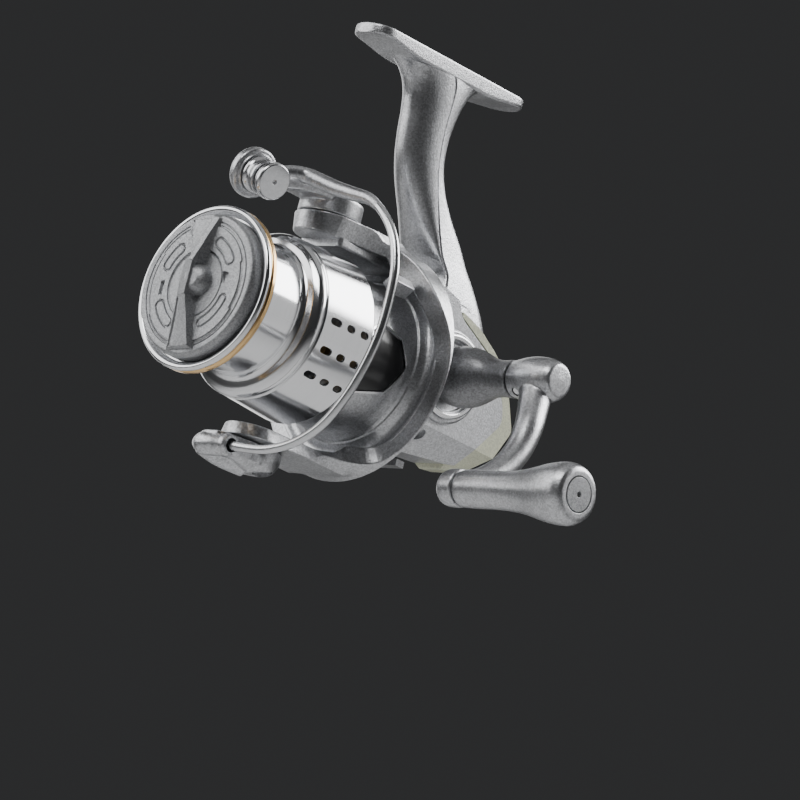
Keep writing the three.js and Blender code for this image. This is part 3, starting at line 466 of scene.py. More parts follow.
def inside(x, z, corners):
    """Distance inside a convex outline, negative outside, for arrays of points."""
    depth = np.full(x.shape, 1e9)
    count = len(corners)
    turn = sum(
        corners[i][0] * corners[(i + 1) % count][1] - corners[(i + 1) % count][0] * corners[i][1]
        for i in range(count)
    )
    sign = 1 if turn > 0 else -1
    for i in range(count):
        (ax, az), (bx, bz) = corners[i], corners[(i + 1) % count]
        length = math.hypot(bx - ax, bz - az)
        depth = np.minimum(depth, sign * ((bx - ax) * (z - az) - (bz - az) * (x - ax)) / length)
    return depth


def arc_track(radius, angle, low, high, start, end):
    """Distance from the middle line of a racetrack-shaped groove that follows an arc."""
    middle = (low + high) / 2
    turned_by = np.clip(angle, start, end)
    x0, z0 = middle * np.cos(np.radians(turned_by)), middle * np.sin(np.radians(turned_by))
    x, z = radius * np.cos(np.radians(angle)), radius * np.sin(np.radians(angle))
    return np.abs(np.hypot(x - x0, z - z0) - (high - low) / 2)


UPPER_FIN = [(-1.2, 4.8), (1.6, 4.8), (3.6, 18.6), (-8.2, 17.2)]
UPPER_CREST = [(-0.6, 4.8), (1.4, 4.8), (3.4, 18.7), (0.4, 18.9)]
LOWER_FIN = [(-3.6, -3.6), (1.4, -3.6), (4.9, -17.6), (-4.2, -18.1)]
WAIST = [(-5.6, 2.6), (-4.2, 6.4), (1.4, 6.4), (1.4, -4.6), (-4.0, -4.6)]
SIDE_POCKET = [(8.9, 3.6), (11.2, 3.2), (11.6, 0.4), (9.2, 0.2)]
FAR_POCKET = [(-12.6, 0.6), (-11.2, 0.6), (-11.2, -3.2), (-12.4, -3.4)]
FIN_GROOVES = [((-6.6, 8.2), (-7.2, 16.6)), ((-4.4, 9.2), (-6.0, 16.8)), ((-2.4, -5.0), (-2.9, -17.4))]
# Arc grooves round the fin: inner radius, outer radius, and the angles where each starts and ends.
ARC_GROOVES = [(10.9, 13.7, 34, 66), (10.6, 12.9, -62, -19), (11.2, 13.8, 132, 158), (11.0, 13.8, -150, -122)]


def knob_height(x, z):
    """How far the knob's face stands towards the front, in millimetres."""
    radius = np.hypot(x, z)
    angle = np.degrees(np.arctan2(z, x))
    height = np.zeros(x.shape)

    def groove(distance, half, depth):
        return -depth * (1 - smoothstep(half * 0.45, half, distance))

    inner = np.minimum(
        np.where(x > 0, np.abs(radius - 9.1), 9.0),
        np.where(x <= 0, np.abs(radius - 9.4), 9.0),
    )
    height += groove(inner, 0.34, 0.5)
    height -= 0.25 * (1 - smoothstep(8.9, 9.3, radius))
    for low, high, start, end in ARC_GROOVES:
        height += groove(arc_track(radius, angle, low, high, start, end), 0.34, 0.5)
    ledge = np.where(np.abs(angle) < 24, 15.6, 16.2)
    ledge = np.where(np.abs(angle) > 150, 15.8, ledge)
    height += groove(np.abs(radius - ledge), 0.3, 0.4)
    height -= 0.3 * smoothstep(0, 0.5, radius - ledge)
    height += groove(np.abs(radius - 17.2), 0.26, 0.35)
    for pocket, depth in ((SIDE_POCKET, 0.9), (FAR_POCKET, 0.8)):
        height -= depth * smoothstep(0, 0.35, inside(x, z, pocket))

    rise = smoothstep(-0.1, 0.5, inside(x, z, WAIST)) * 1.6
    left_tail = smoothstep(-0.1, 0.5, inside(x, z, LOWER_FIN)) * 2.6
    left_head = smoothstep(-0.1, 0.5, inside(x, z, UPPER_FIN)) * 1.4
    crest = 4.2 * smoothstep(-0.1, 0.45, inside(x, z, UPPER_CREST))
    slope = 4.2 - 0.42 * np.clip(1.2 + 0.12 * (z - 5) - x, 0, 20)
    head = np.where(inside(x, z, UPPER_FIN) > 0, np.clip(slope, 1.2, 4.2), 0)
    head *= smoothstep(0, 0.6, inside(x, z, UPPER_FIN))
    tail_slope = np.clip(4.2 - 0.30 * np.clip(2.0 - 0.16 * (z + 4) - x, 0, 20), 2.4, 4.2)
    tail = tail_slope * smoothstep(0, 0.6, inside(x, z, LOWER_FIN))
    waist = np.clip(4.2 - 0.5 * np.clip(0.9 - x, 0, 20), 1.6, 4.2) * smoothstep(0, 0.6, inside(x, z, WAIST))
    fin = np.maximum.reduce([rise, left_tail, left_head, crest, head, tail, waist])
    boss = 4.0 * np.sqrt(np.clip(1 - (np.hypot(x - 1.0, z - 0.8) / 4.3) ** 2, 0, 1))
    fin = np.maximum(fin, np.minimum(boss, 3.4))
    for (ax, az), (bx, bz) in FIN_GROOVES:
        t = np.clip(((x - ax) * (bx - ax) + (z - az) * (bz - az)) / ((bx - ax) ** 2 + (bz - az) ** 2), 0, 1)
        fin += groove(np.hypot(x - ax - t * (bx - ax), z - az - t * (bz - az)), 0.42, 0.9) * (fin > 0.6)
    fin *= np.interp(z, [-17.9, -8, -3.6, 5.6, 17.6], [0.3, 0.72, 0.93, 0.95, 0.12])
    return np.where(fin > 0.1, np.maximum(fin, height), height)


def drag_knob():
    segments = 420
    radii = np.concatenate([[0.0], np.linspace(0.25, KNOB_EDGE, 118)])
    angles = np.arange(segments) * TURN / segments
    rr, aa = np.meshgrid(radii, angles)
    x, z = rr * np.cos(aa), rr * np.sin(aa)
    y = KNOB_FACE - knob_height(x, z)
    rim = fillet([
        (KNOB_EDGE, KNOB_FACE), (19.1, -3.1, 0.5), (19.6, -1.9, 0.6), (19.6, 1.2), (13.4, 1.2), (13.4, 3.6),
        (6.2, 3.6), (6.2, 1.4), (0, 1.4),
    ], 0.2, 3, closed=False)[1:]
    rows = []
    for i, a in enumerate(angles):
        face = [(x[i, j], y[i, j], z[i, j]) for j in range(len(radii))]
        side = [(r * math.cos(a), d, r * math.sin(a)) for r, d in rim]
        rows.append(face + side)
    bm, _ = grid_mesh(rows, True, False)
    return tidy(bm)


piece("drag_knob_disc", drag_knob(), "drag_dial", "satin_grey", ["drag_knob"], sharp=40)

# ---------- rotor ----------
DRUM = 21.0
BAND_INNER = 26.5
BAND_OUTER = 32.0
ROTOR_REAR = 66.5
BAND_SHOULDER = 62.2
BAND_REAR_OUTER = 27.6
BAND_STEP = 3  # degrees between the cuts that let the flat band bend
ARM_END = 9.0
LOWER_ARM_END = 31.0
LOWER_ARM_THICK = 3.5
PLATE_OUTLINE = [(46.8, 6.4), (53.6, 4.6), (57, -1.8), (53.6, -9), (45, -11.8), (43.2, 3.8)]


def grown(points, amount):
    """An outline moved outwards from its middle."""
    p = np.array(points, float)
    away = p - p.mean(axis=0)
    return p + away / np.linalg.norm(away, axis=1)[:, None] * amount


def arm_quarter(end):
    """A quarter of an arm's round end, as [angle from +X, distance behind the lip]."""
    corners = arc((0, end), ARM_END, 270, 355, 12)
    return [(90 - math.degrees(math.asin(a / BAND_OUTER)), b) for a, b in corners]


def band_outline():
    """The unrolled band: [angle as an arc length, distance behind the lip]."""
    upper = [(0, 61.4), (15, 60.4), (30, 57.6), (45, 55.2), (60, 53.6), (66, 52.4), (69.5, 47.5), (73, 40)]
    lower = [(-73, 36), (-69.5, 46), (-66, 53), (-62, 57.6), (-56, 60.4), (-48, 61.3), (-20, 61.5)]
    side = [tuple(p) for p in spline(lower + upper, 80)]
    lower_arm = [(-a, b) for a, b in arm_quarter(LOWER_ARM_END)]
    half = lower_arm + side + arm_quarter(PIVOT.y)[::-1]
    mirrored = [(180 - a, b) for a, b in half[::-1]][1:-1]
    return [(math.radians(a) * BAND_OUTER, b) for a, b in half + mirrored]


def rotor_band():
    top = band_outline()
    start = top[0][0]
    full = start + TURN * BAND_OUTER
    outline = top + [(full, top[0][1]), (full, ROTOR_REAR), (start, ROTOR_REAR)]
    bm = plate(outline, 0, BAND_OUTER - BAND_INNER, "XY", bevel=0.0)
    rim = []
    for edge in bm.edges:
        a, b = edge.verts
        flat = abs(a.co.z - b.co.z) < 1e-6
        seam = abs(a.co.x - b.co.x) < 1e-6
        if flat and not seam:
            rim.append(edge)
    bmesh.ops.bevel(bm, geom=rim, offset=0.55, segments=3, profile=0.5, affect="EDGES",
                    clamp_overlap=True)
    step = math.radians(BAND_STEP) * BAND_OUTER
    for i in range(1, 360 // BAND_STEP):
        geometry = list(bm.verts) + list(bm.edges) + list(bm.faces)
        bmesh.ops.bisect_plane(bm, geom=geometry, plane_co=(start + i * step, 0, 0), plane_no=X_AXIS)
    ends = [f for f in bm.faces if all(abs(v.co.x - start) < 1e-4 for v in f.verts)]
    ends += [f for f in bm.faces if all(abs(v.co.x - full) < 1e-4 for v in f.verts)]
    bmesh.ops.delete(bm, geom=ends, context="FACES")
    for level in [*np.arange(24, 62, 2.0), BAND_SHOULDER, 63.6, 65]:
        geometry = list(bm.verts) + list(bm.edges) + list(bm.faces)
        bmesh.ops.bisect_plane(bm, geom=geometry, plane_co=(0, level, 0), plane_no=Y_AXIS)
    for v in bm.verts:
        angle, depth = v.co.x / BAND_OUTER, v.co.z
        radius = BAND_INNER + depth
        x, z = radius * math.cos(angle), radius * math.sin(angle)
        if v.co.y > BAND_SHOULDER and depth > 0:
            back = (v.co.y - BAND_SHOULDER) / (ROTOR_REAR - BAND_SHOULDER)
            limit = BAND_OUTER + (BAND_REAR_OUTER - BAND_OUTER) * back
            radius = BAND_INNER + depth * (limit - BAND_INNER) / (BAND_OUTER - BAND_INNER)
            x, z = radius * math.cos(angle), radius * math.sin(angle)
        on_arm = float(1 - smoothstep(56.5, 59, v.co.y)) * float(1 - smoothstep(10.2, 11.2, abs(x)))
        if z < 0:
            thin = float(1 - smoothstep(44, 56, v.co.y))
            flat = BAND_OUTER - (BAND_OUTER - radius) * LOWER_ARM_THICK / (BAND_OUTER - BAND_INNER)
            radius += (flat - radius) * thin
        lift = (radius - abs(z)) * on_arm
        v.co = (x, v.co.y, z + math.copysign(lift, z))
    return tidy(bm, 1e-3)


def on_drum(points, inner, outer):
    """A side outline bent round the rotor's drum, between two radii."""
    prism = plate(points, 12, 27, "YZ", bevel=0)
    shell = lathe([(inner, 35), (outer, 35), (outer, 66), (inner, 66)], 180, 0)
    return boolean(prism, shell, operation="INTERSECT")


CORE_PROFILE = [
    (3.6, 45), (12, 45), (12, 42), (18.8, 42), (18.8, 41.5), (DRUM, 41.5, 0.4), (DRUM, 56.4, 1.5),
    (21.5, 58.8, 0.6), (21.9, 59.6, 0.2), (22.4, 59.7, 0.2), (22.9, 60.6, 0.5), (23.9, 61.9, 1.0),
    (25.6, 62.1, 0.8), (26.8, 61.2, 0.4), (27.6, 61.2), (27.6, 66.4), (21.4, 66.4), (19.6, 60),
    (18.6, 48.4), (7, 48.4), (7, 53.6), (3.6, 53.6),
]
core = lathe(CORE_PROFILE, 180, 0.2, 3)
core = boolean(core, on_drum(grown(PLATE_OUTLINE, 0.55), 20.05, 24))
PIVOT_HOLE = [(0, 28.9), (1.7, 28.9), (1.7, 34), (0, 34)]
pivot_holes = merged(*[
    moved(lathe(PIVOT_HOLE, 24, 0), Z_AXIS * side, (0, PIVOT.y, 0)) for side in (1, -1)
])
spring_pocket = plate([(-3.7, 41), (3.7, 41), (3.7, 57), (-3.7, 57)], 25.3, 29.7, "XY", bevel=0)
box_outline = fillet([(-7.6, 36, 1.5), (7.6, 36, 1.5), (7.6, 60, 0), (-7.6, 60, 0)], 1, 5)
spring_box = plate(box_outline, 24.4, 29, "XY", bevel=0.7)
band = boolean(rotor_band(), spring_box, operation="UNION")
band = boolean(band, pivot_holes, spring_pocket)
KICK_STOP_ANGLE = 44
stop_outline = fillet([(24.3, -1.7), (28.5, -1.7), (28.5, 1.7), (24.3, 1.7)], 0.3, 3)
kick_stop = plate(stop_outline, 46, 53, "XZ", bevel=0.3, segments=2)
kick_stop.transform(Matrix.Rotation(-math.radians(KICK_STOP_ANGLE), 4, "Y"))
band = boolean(band, core, operation="UNION")
band = boolean(band, kick_stop, operation="UNION")
piece("rotor_cup", band, "rotor_unit", "silver_paint", ["rotor"], sharp=34)
piece("rotor_window", on_drum(PLATE_OUTLINE, 20.3, 20.9), "rotor_unit", "black_label", ["rotor_plate"])
window_edge = boolean(
    on_drum(grown(PLATE_OUTLINE, 1.15), 20.7, 21.2),
    on_drum(grown(PLATE_OUTLINE, 0.5), 20, 24),
)
piece("rotor_window_edge", window_edge, "rotor_unit", "polished_alloy")

# ---------- bail ----------
CAP_Z = BAND_OUTER + 0.3
WIRE_PATH = [
    (10.2, 21.2, 36.9), (15.3, 21.4, 35.4), (22.5, 21.4, 33.8), (29.6, 21.4, 32.2), (36.4, 21.4, 27.6),
    (41, 21.4, 22), (44, 21.4, 14.6), (45, 21.4, 5), (44.6, 21.4, -3.6), (42.2, 21.4, -13),
    (38, 21.4, -22), (32.6, 21.4, -29), (25.4, 21.4, -33.6), (15, 21.4, -36.2), (7, 21.4, -36),
    (2.6, 21.4, -35.6), (-0.8, 21.3, -35.4),
]
WIRE_RADIUS = 1.22
ROOT_PATH = [
    (1.4, 12.4, 35.6), (2.6, 15.6, 37.4), (5, 20, 38.2), (10.2, 21.2, 36.9), (15.3, 21.4, 35.4),
    (22.5, 21.4, 33.8), (29.6, 21.4, 32.2), (33.2, 21.4, 30.2),
]
ROOT_RADII = [1.3, 1.8, 2.1, 2.1, 2.05, 1.9, 1.55, 1.2]

# Sections along the arm between its round cap and the roller, each a ring of six corners.
BLADE_SECTIONS = [
    [(-5, 40, 35.2), (1, 42, 35.2), (5.6, 40, 35.2), (6.4, 38, 37.4), (2, 40, 38), (-5, 40, 37.4)],
    [(-5, 32, 35.2), (0.6, 32, 35.2), (5.8, 32, 35.4), (6.6, 32, 37.8), (3, 32, 38.6), (-4.6, 32, 37.8)],
    [(-3, 24, 34.6), (1.4, 24, 34.6), (5.2, 24, 35), (6.6, 24, 38), (4, 24, 39.2), (-2.4, 24, 38)],
    [(-0.6, 17, 33.4), (1.4, 17, 33.2), (3, 17, 33.6), (4.2, 17, 37.4), (2.8, 17, 38.6), (-0.4, 17, 37.6)],
    [(-0.4, 12.4, 31.6), (0.9, 12.2, 31.2), (1.9, 12, 31), (2.4, 12, 36.2), (1.6, 12, 37.2),
     (-0.2, 12.4, 37)],
]


def bail_arm():
    cap = moved(lathe([
        (0, 0), (8.5, 0, 0.3), (8.5, 5, 0.9), (4.8, 5, 0.2), (4.6, 3.6, 0.2), (0, 3.6),
    ], 96), Z_AXIS, (0, PIVOT.y, CAP_Z))
    blade = loft(BLADE_SECTIONS, 40)
    eye = on_roller(lathe([(0, 1.3), (4.2, 1.3, 0.2), (4.2, 2.5, 0.3), (0, 2.5)], 64))
    root = tube(ROOT_PATH, ROOT_RADII, 70, 24)
    body = fused(0.22, 5, cap, blade, eye, root)
    screw_hole = lathe([(0, 30), (1.7, 30), (1.7, 36), (4.4, 36), (4.4, 44), (0, 44)], 40, 0)
    roller_hole = lathe([
        (0, -9), (5.2, -9), (5.2, 1.2), (1.5, 1.2), (1.5, 2.6), (5.4, 2.6), (5.4, 9), (0, 9),
    ], 64, 0)
    return boolean(body, merged(moved(screw_hole, Z_AXIS, (0, PIVOT.y, 0)), on_roller(roller_hole)))


piece("bail_arm_lever", bail_arm(), "bail", "silver_paint", ["bail_arm"], sharp=50)
wire = tube(WIRE_PATH, [WIRE_RADIUS] * len(WIRE_PATH), 150, 28)
piece("bail_wire_loop", wire, "bail", "steel", ["bail_wire"])


def lower_lever():
    cap = moved(lathe([
        (0, 0), (8, 0, 0.4), (8.1, 2.6, 1.4), (6.6, 5.6, 1.6), (4, 6.4, 1), (0, 6.5),
    ], 96), -Z_AXIS, (-3.4, 34.6, -CAP_Z))
    web = plate(fillet([
        (-9.4, 34, 2), (-9.6, 21, 3), (-6, 18.4, 2), (-0.6, 18.6, 1.5), (1.2, 21.4, 1.5), (3.6, 29, 3),
        (3.8, 34, 2),
    ], 2, 6), -37.4, -CAP_Z, "XY", bevel=1.4, segments=4)
    tip = tube([
        (-9.6, 20.6, -35.4), (-7.6, 20.4, -35.5), (-4, 20.4, -35.7), (-1, 21, -35.6), (1, 21.4, -35.5),
    ], [1.6, 2.8, 3.1, 2.9, 2.7], 40, 32)
    flank = tube([(-8, 21, -35.8), (-7.4, 27, -36.2), (-4, 34, -36.4)], [2.6, 3.2, 3.8], 30, 32)
    spine = tube([(0.4, 22, -35.6), (0.6, 27, -35.8), (-1, 33, -36)], [2.5, 2.8, 3.4], 30, 32)
    body = fused(0.24, 9, cap, web, tip, flank, spine)
    screw_hole = lathe([(0, 30), (1.7, 30), (1.7, 36), (2.6, 36), (2.6, 44), (0, 44)], 40, 0)
    holes = (
        moved(screw_hole, -Z_AXIS, (0, PIVOT.y, 0)),
        tube([(-2, 21.3, -35.4), (1, 21.4, -35.45), (8, 21.4, -35.9)], [1.9, 1.9, 1.9], 16, 24),
        plate([(-20, 10), (20, 10), (20, 50), (-20, 50)], -CAP_Z, -20, "XY", bevel=0),
    )
    rim = tube([(0.2, 21.4, -35.45), (1.7, 21.4, -35.5), (2.4, 21.4, -35.55)], [2.95, 2.95, 2.6], 8, 32)
    return boolean(boolean(body, rim, operation="UNION"), *holes)


piece("lower_lever_arm", lower_lever(), "bail", "silver_paint", ["lower_bail_lever"], sharp=50)

roller_head = on_roller(lathe([
    (0, 2.8), (4.3, 2.8, 0.1), (5.0, 3.3, 0.3), (5.0, 4.3, 0.3), (4.6, 4.8, 0.2), (0.62, 4.8, 0.1),
    (0.5, 4.3), (0, 4.2),
], 72))
roller_shank = on_roller(lathe([(0, -7.2), (1.25, -7.2), (1.25, 2.9), (0, 2.9)], 40))
piece("roller_pin_head", merged(roller_head, roller_shank), "bail", "steel", ["roller_pin"])
piece("line_roller_drum", on_roller(lathe([
    (2.2, -3.4), (5.0, -3.4, 0.3), (4.9, -2.7, 0.3), (4.45, -1.9, 0.5), (4.4, -0.9, 0.5),
    (4.8, 0.1, 0.3), (4.8, 1.0, 0.2), (2.2, 1.0),
], 96)), "roller", "steel", ["line_roller"])
piece("roller_cup_shell", on_roller(lathe([
    (1.5, -3.8), (5.3, -3.8, 0.2), (5.5, -4.3, 0.2), (6.2, -4.3, 0.2), (6.75, -4.8, 0.3),
    (6.75, -6.6, 0.5), (5.7, -8.1, 0.6), (3.4, -8.1, 0.1), (3.2, -7.6, 0.1), (1.5, -7.6),
], 96)), "bail", "silver_paint", ["roller_cup"])
for name, side, head in (("upper_pivot_screw", 1, 4.0), ("lower_pivot_screw", -1, 2.4)):
    screw = lathe([
        (0, 29.1), (1.4, 29.1), (1.4, 36.2), (head, 36.2), (head, 36.9, 0.4), (head - 0.8, 37.1, 0.2),
        (0, 37.1),
    ], 64)
    slit_outline = [(-head - 1, -0.4), (head + 1, -0.4), (head + 1, 0.4), (-head - 1, 0.4)]
    slit = plate(slit_outline, 36.5, 38, "XZ", bevel=0)
    screw = moved(boolean(screw, slit), Z_AXIS * side, (0, PIVOT.y, 0))
    piece(name + "_slotted", screw, "rotor_unit", "steel", [name])

# ---------- handle ----------
BELL_END = 37.1
piece("bell_shell", on_crank(lathe([
    (3.7, 13.9), (6.9, 13.9, 0.3), (7.7, 15.2, 0.9), (8.3, 18.6, 2.5), (7.9, 22.6, 2), (6.6, 26.2, 2),
    (5.3, 29.2, 2), (4.8, 32.6, 2), (5.05, 36.9, 0.3), (4.7, BELL_END, 0.1), (3.7, BELL_END),
], 96, 0.3, 6)), "drive", "dark_paint", ["bell_cover"])


def fold_frame(bm):
    """From a frame of [fold side, handle axis, fold pin] to the reel."""
    side = X_AXIS.cross(ARM_DOWN)
    basis = Matrix((side, X_AXIS, ARM_DOWN)).transposed().to_4x4()
    bm.transform(Matrix.Translation((0, CRANK.y, CRANK.z)) @ basis)
    return bm


ARM_PATH = [
    (45.6, 82, 3.6), (47.0, 80.4, -0.6), (49.2, 78.4, -5.6), (51.2, 76.4, -10), (52.8, 73.2, -17.5),
    (53.5, 67.6, -25), (53.4, 60.2, -31), (52.6, 53.6, -34.4),
]
ARM_RADII = [4.6, 4.3, 4.0, 3.85, 3.6, 3.5, 3.7, 4.1]


def crank_arm():
    hub = on_crank(lathe([
        (0, 37.5), (4.9, 37.5, 0.2), (5.4, 39.4, 1.2), (6.05, 42.4, 1.6), (6.25, 45.6, 1.6),
        (6.0, 48.8, 1.2), (5.1, 51.6, 0.7), (4.3, 52.7, 0.5), (0, 53),
    ], 96, 0.4, 5))
    arm = tube(ARM_PATH, ARM_RADII, 70, 32)
    boss = on_knob(lathe([
        (0, 49.7), (3, 50.0, 1.2), (4.7, 51.6, 1.2), (5.05, 53.6, 1), (5.05, 56.4, 0.3), (0, 56.4),
    ], 96))
    body = fused(0.3, 5, hub, arm, boss)
    pin = FOLD.x
    slot = plate([(-3.9, pin - 8), (16, pin - 8), (16, pin + 4), (-3.9, pin + 4)], -1.9, 1.9, "XY", bevel=0)
    flat = plate([(3.75, pin - 7), (14, pin - 7), (14, pin + 5.8), (3.75, pin + 5.8)], -8, 8, "XY", bevel=0)
    corner_outline = [(0, pin - 6), (9, pin - 6), (9, pin)] + arc((0, pin), 3.78, 0, -90, 12)
    corner = plate(corner_outline, -8, 8, "XY", bevel=0)
    pin_hole = lathe([(0, -9), (1.3, -9), (1.3, 9), (0, 9)], 32, 0)
    pin_hole = moved(pin_hole, ARM_DOWN, (pin, CRANK.y, CRANK.z))
    knob_hole = on_knob(lathe([(0, 49), (1.9, 49), (1.9, 58), (0, 58)], 32, 0))
    return boolean(body, fold_frame(slot), fold_frame(flat), fold_frame(corner), pin_hole, knob_hole)


piece("crank_casting", crank_arm(), "crank", "silver_paint", ["crank_arm"], sharp=50)
piece("knob_shell", on_knob(lathe([
    (3.2, 56.6), (4.5, 56.6, 0.4), (4.95, 58.0, 1.2), (5.05, 62, 2), (5.0, 69, 4), (5.3, 75, 4),
    (5.8, 79.2, 3), (6.7, 83.2, 2.5), (7.6, 87, 2.5), (8.15, 90.8, 1.8), (8.2, 94.0, 1.2),
    (7.2, 96.2, 1.0), (6.2, 96.8, 0.8), (4.78, 96.85, 0.15), (4.78, 93.6), (3.2, 93.6),
], 128, 0.3, 6)), "knob", "silver_paint", ["knob_grip"])
piece("knob_end_cap", on_knob(lathe([
    (0, 94), (4.5, 94), (4.5, 96.9, 0.2), (0.75, 96.95, 0.15), (0.5, 95.8), (0, 95.6),
], 96)), "knob", "satin_grey", ["knob_cap"])

# ---------- body ----------
HALF = 12.0
BODY_OUTLINE = [
    (69.3, -17.5, 0.5), (80.6, -17.4, 2), (96.4, -15.6, 2), (101.4, -14.5, 1.5), (103.4, -9.8, 1),
    (106.9, 0.1, 2.5), (105, 5.3, 3), (96.4, 14.5, 3), (82.4, 20.8, 2), (80.2, 24.8, 0.6),
    (73.2, 26.6, 0.6), (69.3, 25.6, 0.3),
]
CHAMFER = Vector((0.66, 0, -0.75)).normalized()
CHAMFER_Z = -10.2


def chamfered(bm, half):
    """The block with both lower corners cut off at a slant."""
    for side in (1, -1):
        bm = sliced(bm, (side * half, 0, CHAMFER_Z), (side * CHAMFER.x, 0, CHAMFER.z))
    return bm


def body_block():
    block = chamfered(plate(fillet(BODY_OUTLINE, 1, 5), -HALF, HALF, "YZ", bevel=0), HALF)
    for side in (1, -1):
        block = sliced(block, (side * HALF, 99.6, -10), (side * 0.42, 0.72, -0.56))
    return rounded_edges(block, 0.45, 20, 2)


# Sections of the stem: height, front, rear, half width, and how far back along the side its groove runs.
STEM = [
    (14.5, 73, 102.0, 9.6, 0.02), (19.3, 73.5, 101.0, 9.5, 0.02), (24.6, 74.8, 98, 8.9, 0.03),
    (30.5, 75.6, 92.8, 8.0, 0.05), (35.5, 71.2, 88.0, 7.3, 0.12), (40, 67.3, 84.2, 6.8, 0.24),
    (46, 62.5, 77.8, 6.3, 0.45), (52, 58.6, 72.6, 6.05, 0.62), (58, 56.2, 69.6, 6.0, 0.70),
    (64, 55.0, 68.9, 6.05, 0.70), (70, 54.3, 69.6, 6.2, 0.66), (75, 53.0, 71.0, 6.4, 0.63),
    (78.5, 50.6, 73.0, 6.45, 0.60), (80.8, 47.2, 75.6, 6.45, 0.56), (82.3, 42.4, 79.6, 6.4, 0.52),
    (83.2, 38.4, 83.0, 6.3, 0.50),
]
# Behind the groove: share of the half width, share of the way from the groove to the rear.
STEM_REAR = [
    (0.945, 0.02), (0.945, 0.05), (1.0, 0.08), (0.985, 0.25), (0.955, 0.45), (0.915, 0.62), (0.87, 0.74),
    (0.80, 0.82), (0.66, 0.90), (0.46, 0.955), (0.24, 0.99), (0.0, 1.0),
]
FRONT_STEPS = 12


def stem():
    sections = []
    for z, front, rear, half, groove in STEM:
        side = []
        for k in range(FRONT_STEPS + 1):
            angle = math.pi / 2 * k / FRONT_STEPS
            side.append((math.sin(angle), groove * (1 - math.cos(angle))))
        side += [(a, groove + (1 - groove) * b) for a, b in STEM_REAR]
        ring = side + [(-a, b) for a, b in side[-2:0:-1]]
        sections.append([(a * half, front + b * (rear - front), z) for a, b in ring])
    return loft(sections, 110)


FOOT_FRONT = 32.3
FOOT_REAR = 93.3
FOOT_HALF = 6.5
FOOT_NOSE = 5.5
FOOT_TOP = -LIP.z / MM


def foot():
    """The rod foot: flat on top, thin at both ends and thicker over the stem."""
    def width(y):
        end = min(y - FOOT_FRONT, FOOT_REAR - y)
        if end >= FOOT_NOSE:
            return FOOT_HALF
        return FOOT_HALF * math.sqrt(max(0.0, 1 - ((FOOT_NOSE - end) / FOOT_NOSE) ** 2)) ** 0.8

    rows = []
    length = FOOT_REAR - FOOT_FRONT
    places = [FOOT_FRONT + length * (0.5 - 0.5 * math.cos(math.pi * t / 70)) for t in range(1, 70)]
    for y in places:
        middle = (y - FOOT_FRONT) / length
        thick = 2.6 + 1.7 * float(smoothstep(0.02, 0.3, middle) * (1 - smoothstep(0.72, 0.99, middle)))
        w = max(0.4, width(y))
        lip = min(0.8, 0.4 * w)
        section = fillet([(-w, -thick, lip), (w, -thick, lip), (w, 0, lip * 0.8), (-w, 0, lip * 0.8)], lip, 4)
        rows.append([(a, y, FOOT_TOP + b) for a, b in section])
    bm, verts = grid_mesh(rows, False, True)
    bm.faces.new(verts[0])
    bm.faces.new(verts[-1])
    return tidy(bm)


neck = lathe([
    (3.9, 55), (12.2, 55, 0.4), (12.2, 67.6), (20, 67.6, 0.3), (20, 69.9, 0.2), (12, 69.9), (12, 72),
    (3.9, 72),
], 96)
boss = on_crank(lathe([
    (5.3, 11), (12.6, 11), (12.6, 12.9, 0.35), (12.1, 13.4, 0.2), (9.4, 13.4, 0.2), (9.0, 12.7, 0.2),
    (5.3, 12.7),
], 120))
casting = boolean(body_block(), stem(), operation="UNION")
casting = boolean(casting, foot(), operation="UNION")


def body_hollow():
    """The room inside the body for the gears and the slider."""
    outline = [
        (70.1, -15), (80, -15), (97, -13.8), (100.4, -13), (102.4, -8), (104.4, -1.6), (102, 4.8),
        (95.6, 11.4), (83, 16.4), (70.1, 16.4),
    ]
    return chamfered(plate(outline, -HALF - 1, HALF - 2.4, "YZ", bevel=0), HALF - 3)


SEAM_OUTLINE = [
    (70, 28.3), (73.3, 27.5), (80.3, 25.2), (86.9, 25.3), (93, 22.9), (93, 22.4), (86.9, 24.8),
    (80.3, 24.7), (73.3, 27.0), (70, 27.8),
]
seam = merged(*[
    plate(SEAM_OUTLINE, low, high, "YZ", bevel=0) for low, high in ((8.3, 14), (-14, -8.3))
])
port = moved(lathe([(0, -1.6), (2.1, -1.6), (2.1, 3), (0, 3)], 48, 0), CHAMFER, (9.6, 79.8, -12.9))
way = on_crank(lathe([(0, 8), (5.2, 8), (5.2, 16), (0, 16)], 48, 0))
casting = boolean(casting, body_hollow(), port, way, seam)
piece("housing_casting", merged(casting, neck, boss), "housing", "silver_paint", ["body_housing"], sharp=30)

TRIM_OUTLINE = [
    (82.9, 22.6, 0.3), (90.5, 20.6, 2), (98.2, 16.6, 2), (103.6, 13.0, 2), (107.4, 7.4, 2),
    (111.8, -1.3, 1.5), (107.6, -9.6, 1.5), (103.2, -16.0, 1), (96.6, -17.0, 0.3), (96, -15.6, 0.2),
    (99.4, -10.6, 0.5), (106.9, -0.2, 1), (105.6, 5.6, 2.5), (96.9, 15.2, 2), (82.9, 21.4, 0.3),
]
TRIM_HALF = 11.5
trim = chamfered(plate(fillet(TRIM_OUTLINE, 0.8, 4), -TRIM_HALF, TRIM_HALF, "YZ", bevel=0), TRIM_HALF)
trim = boolean(rounded_edges(trim, 0.35, 24, 2), body_hollow())
piece("rear_trim", trim, "housing", "champagne", ["rear_cover"], sharp=40)

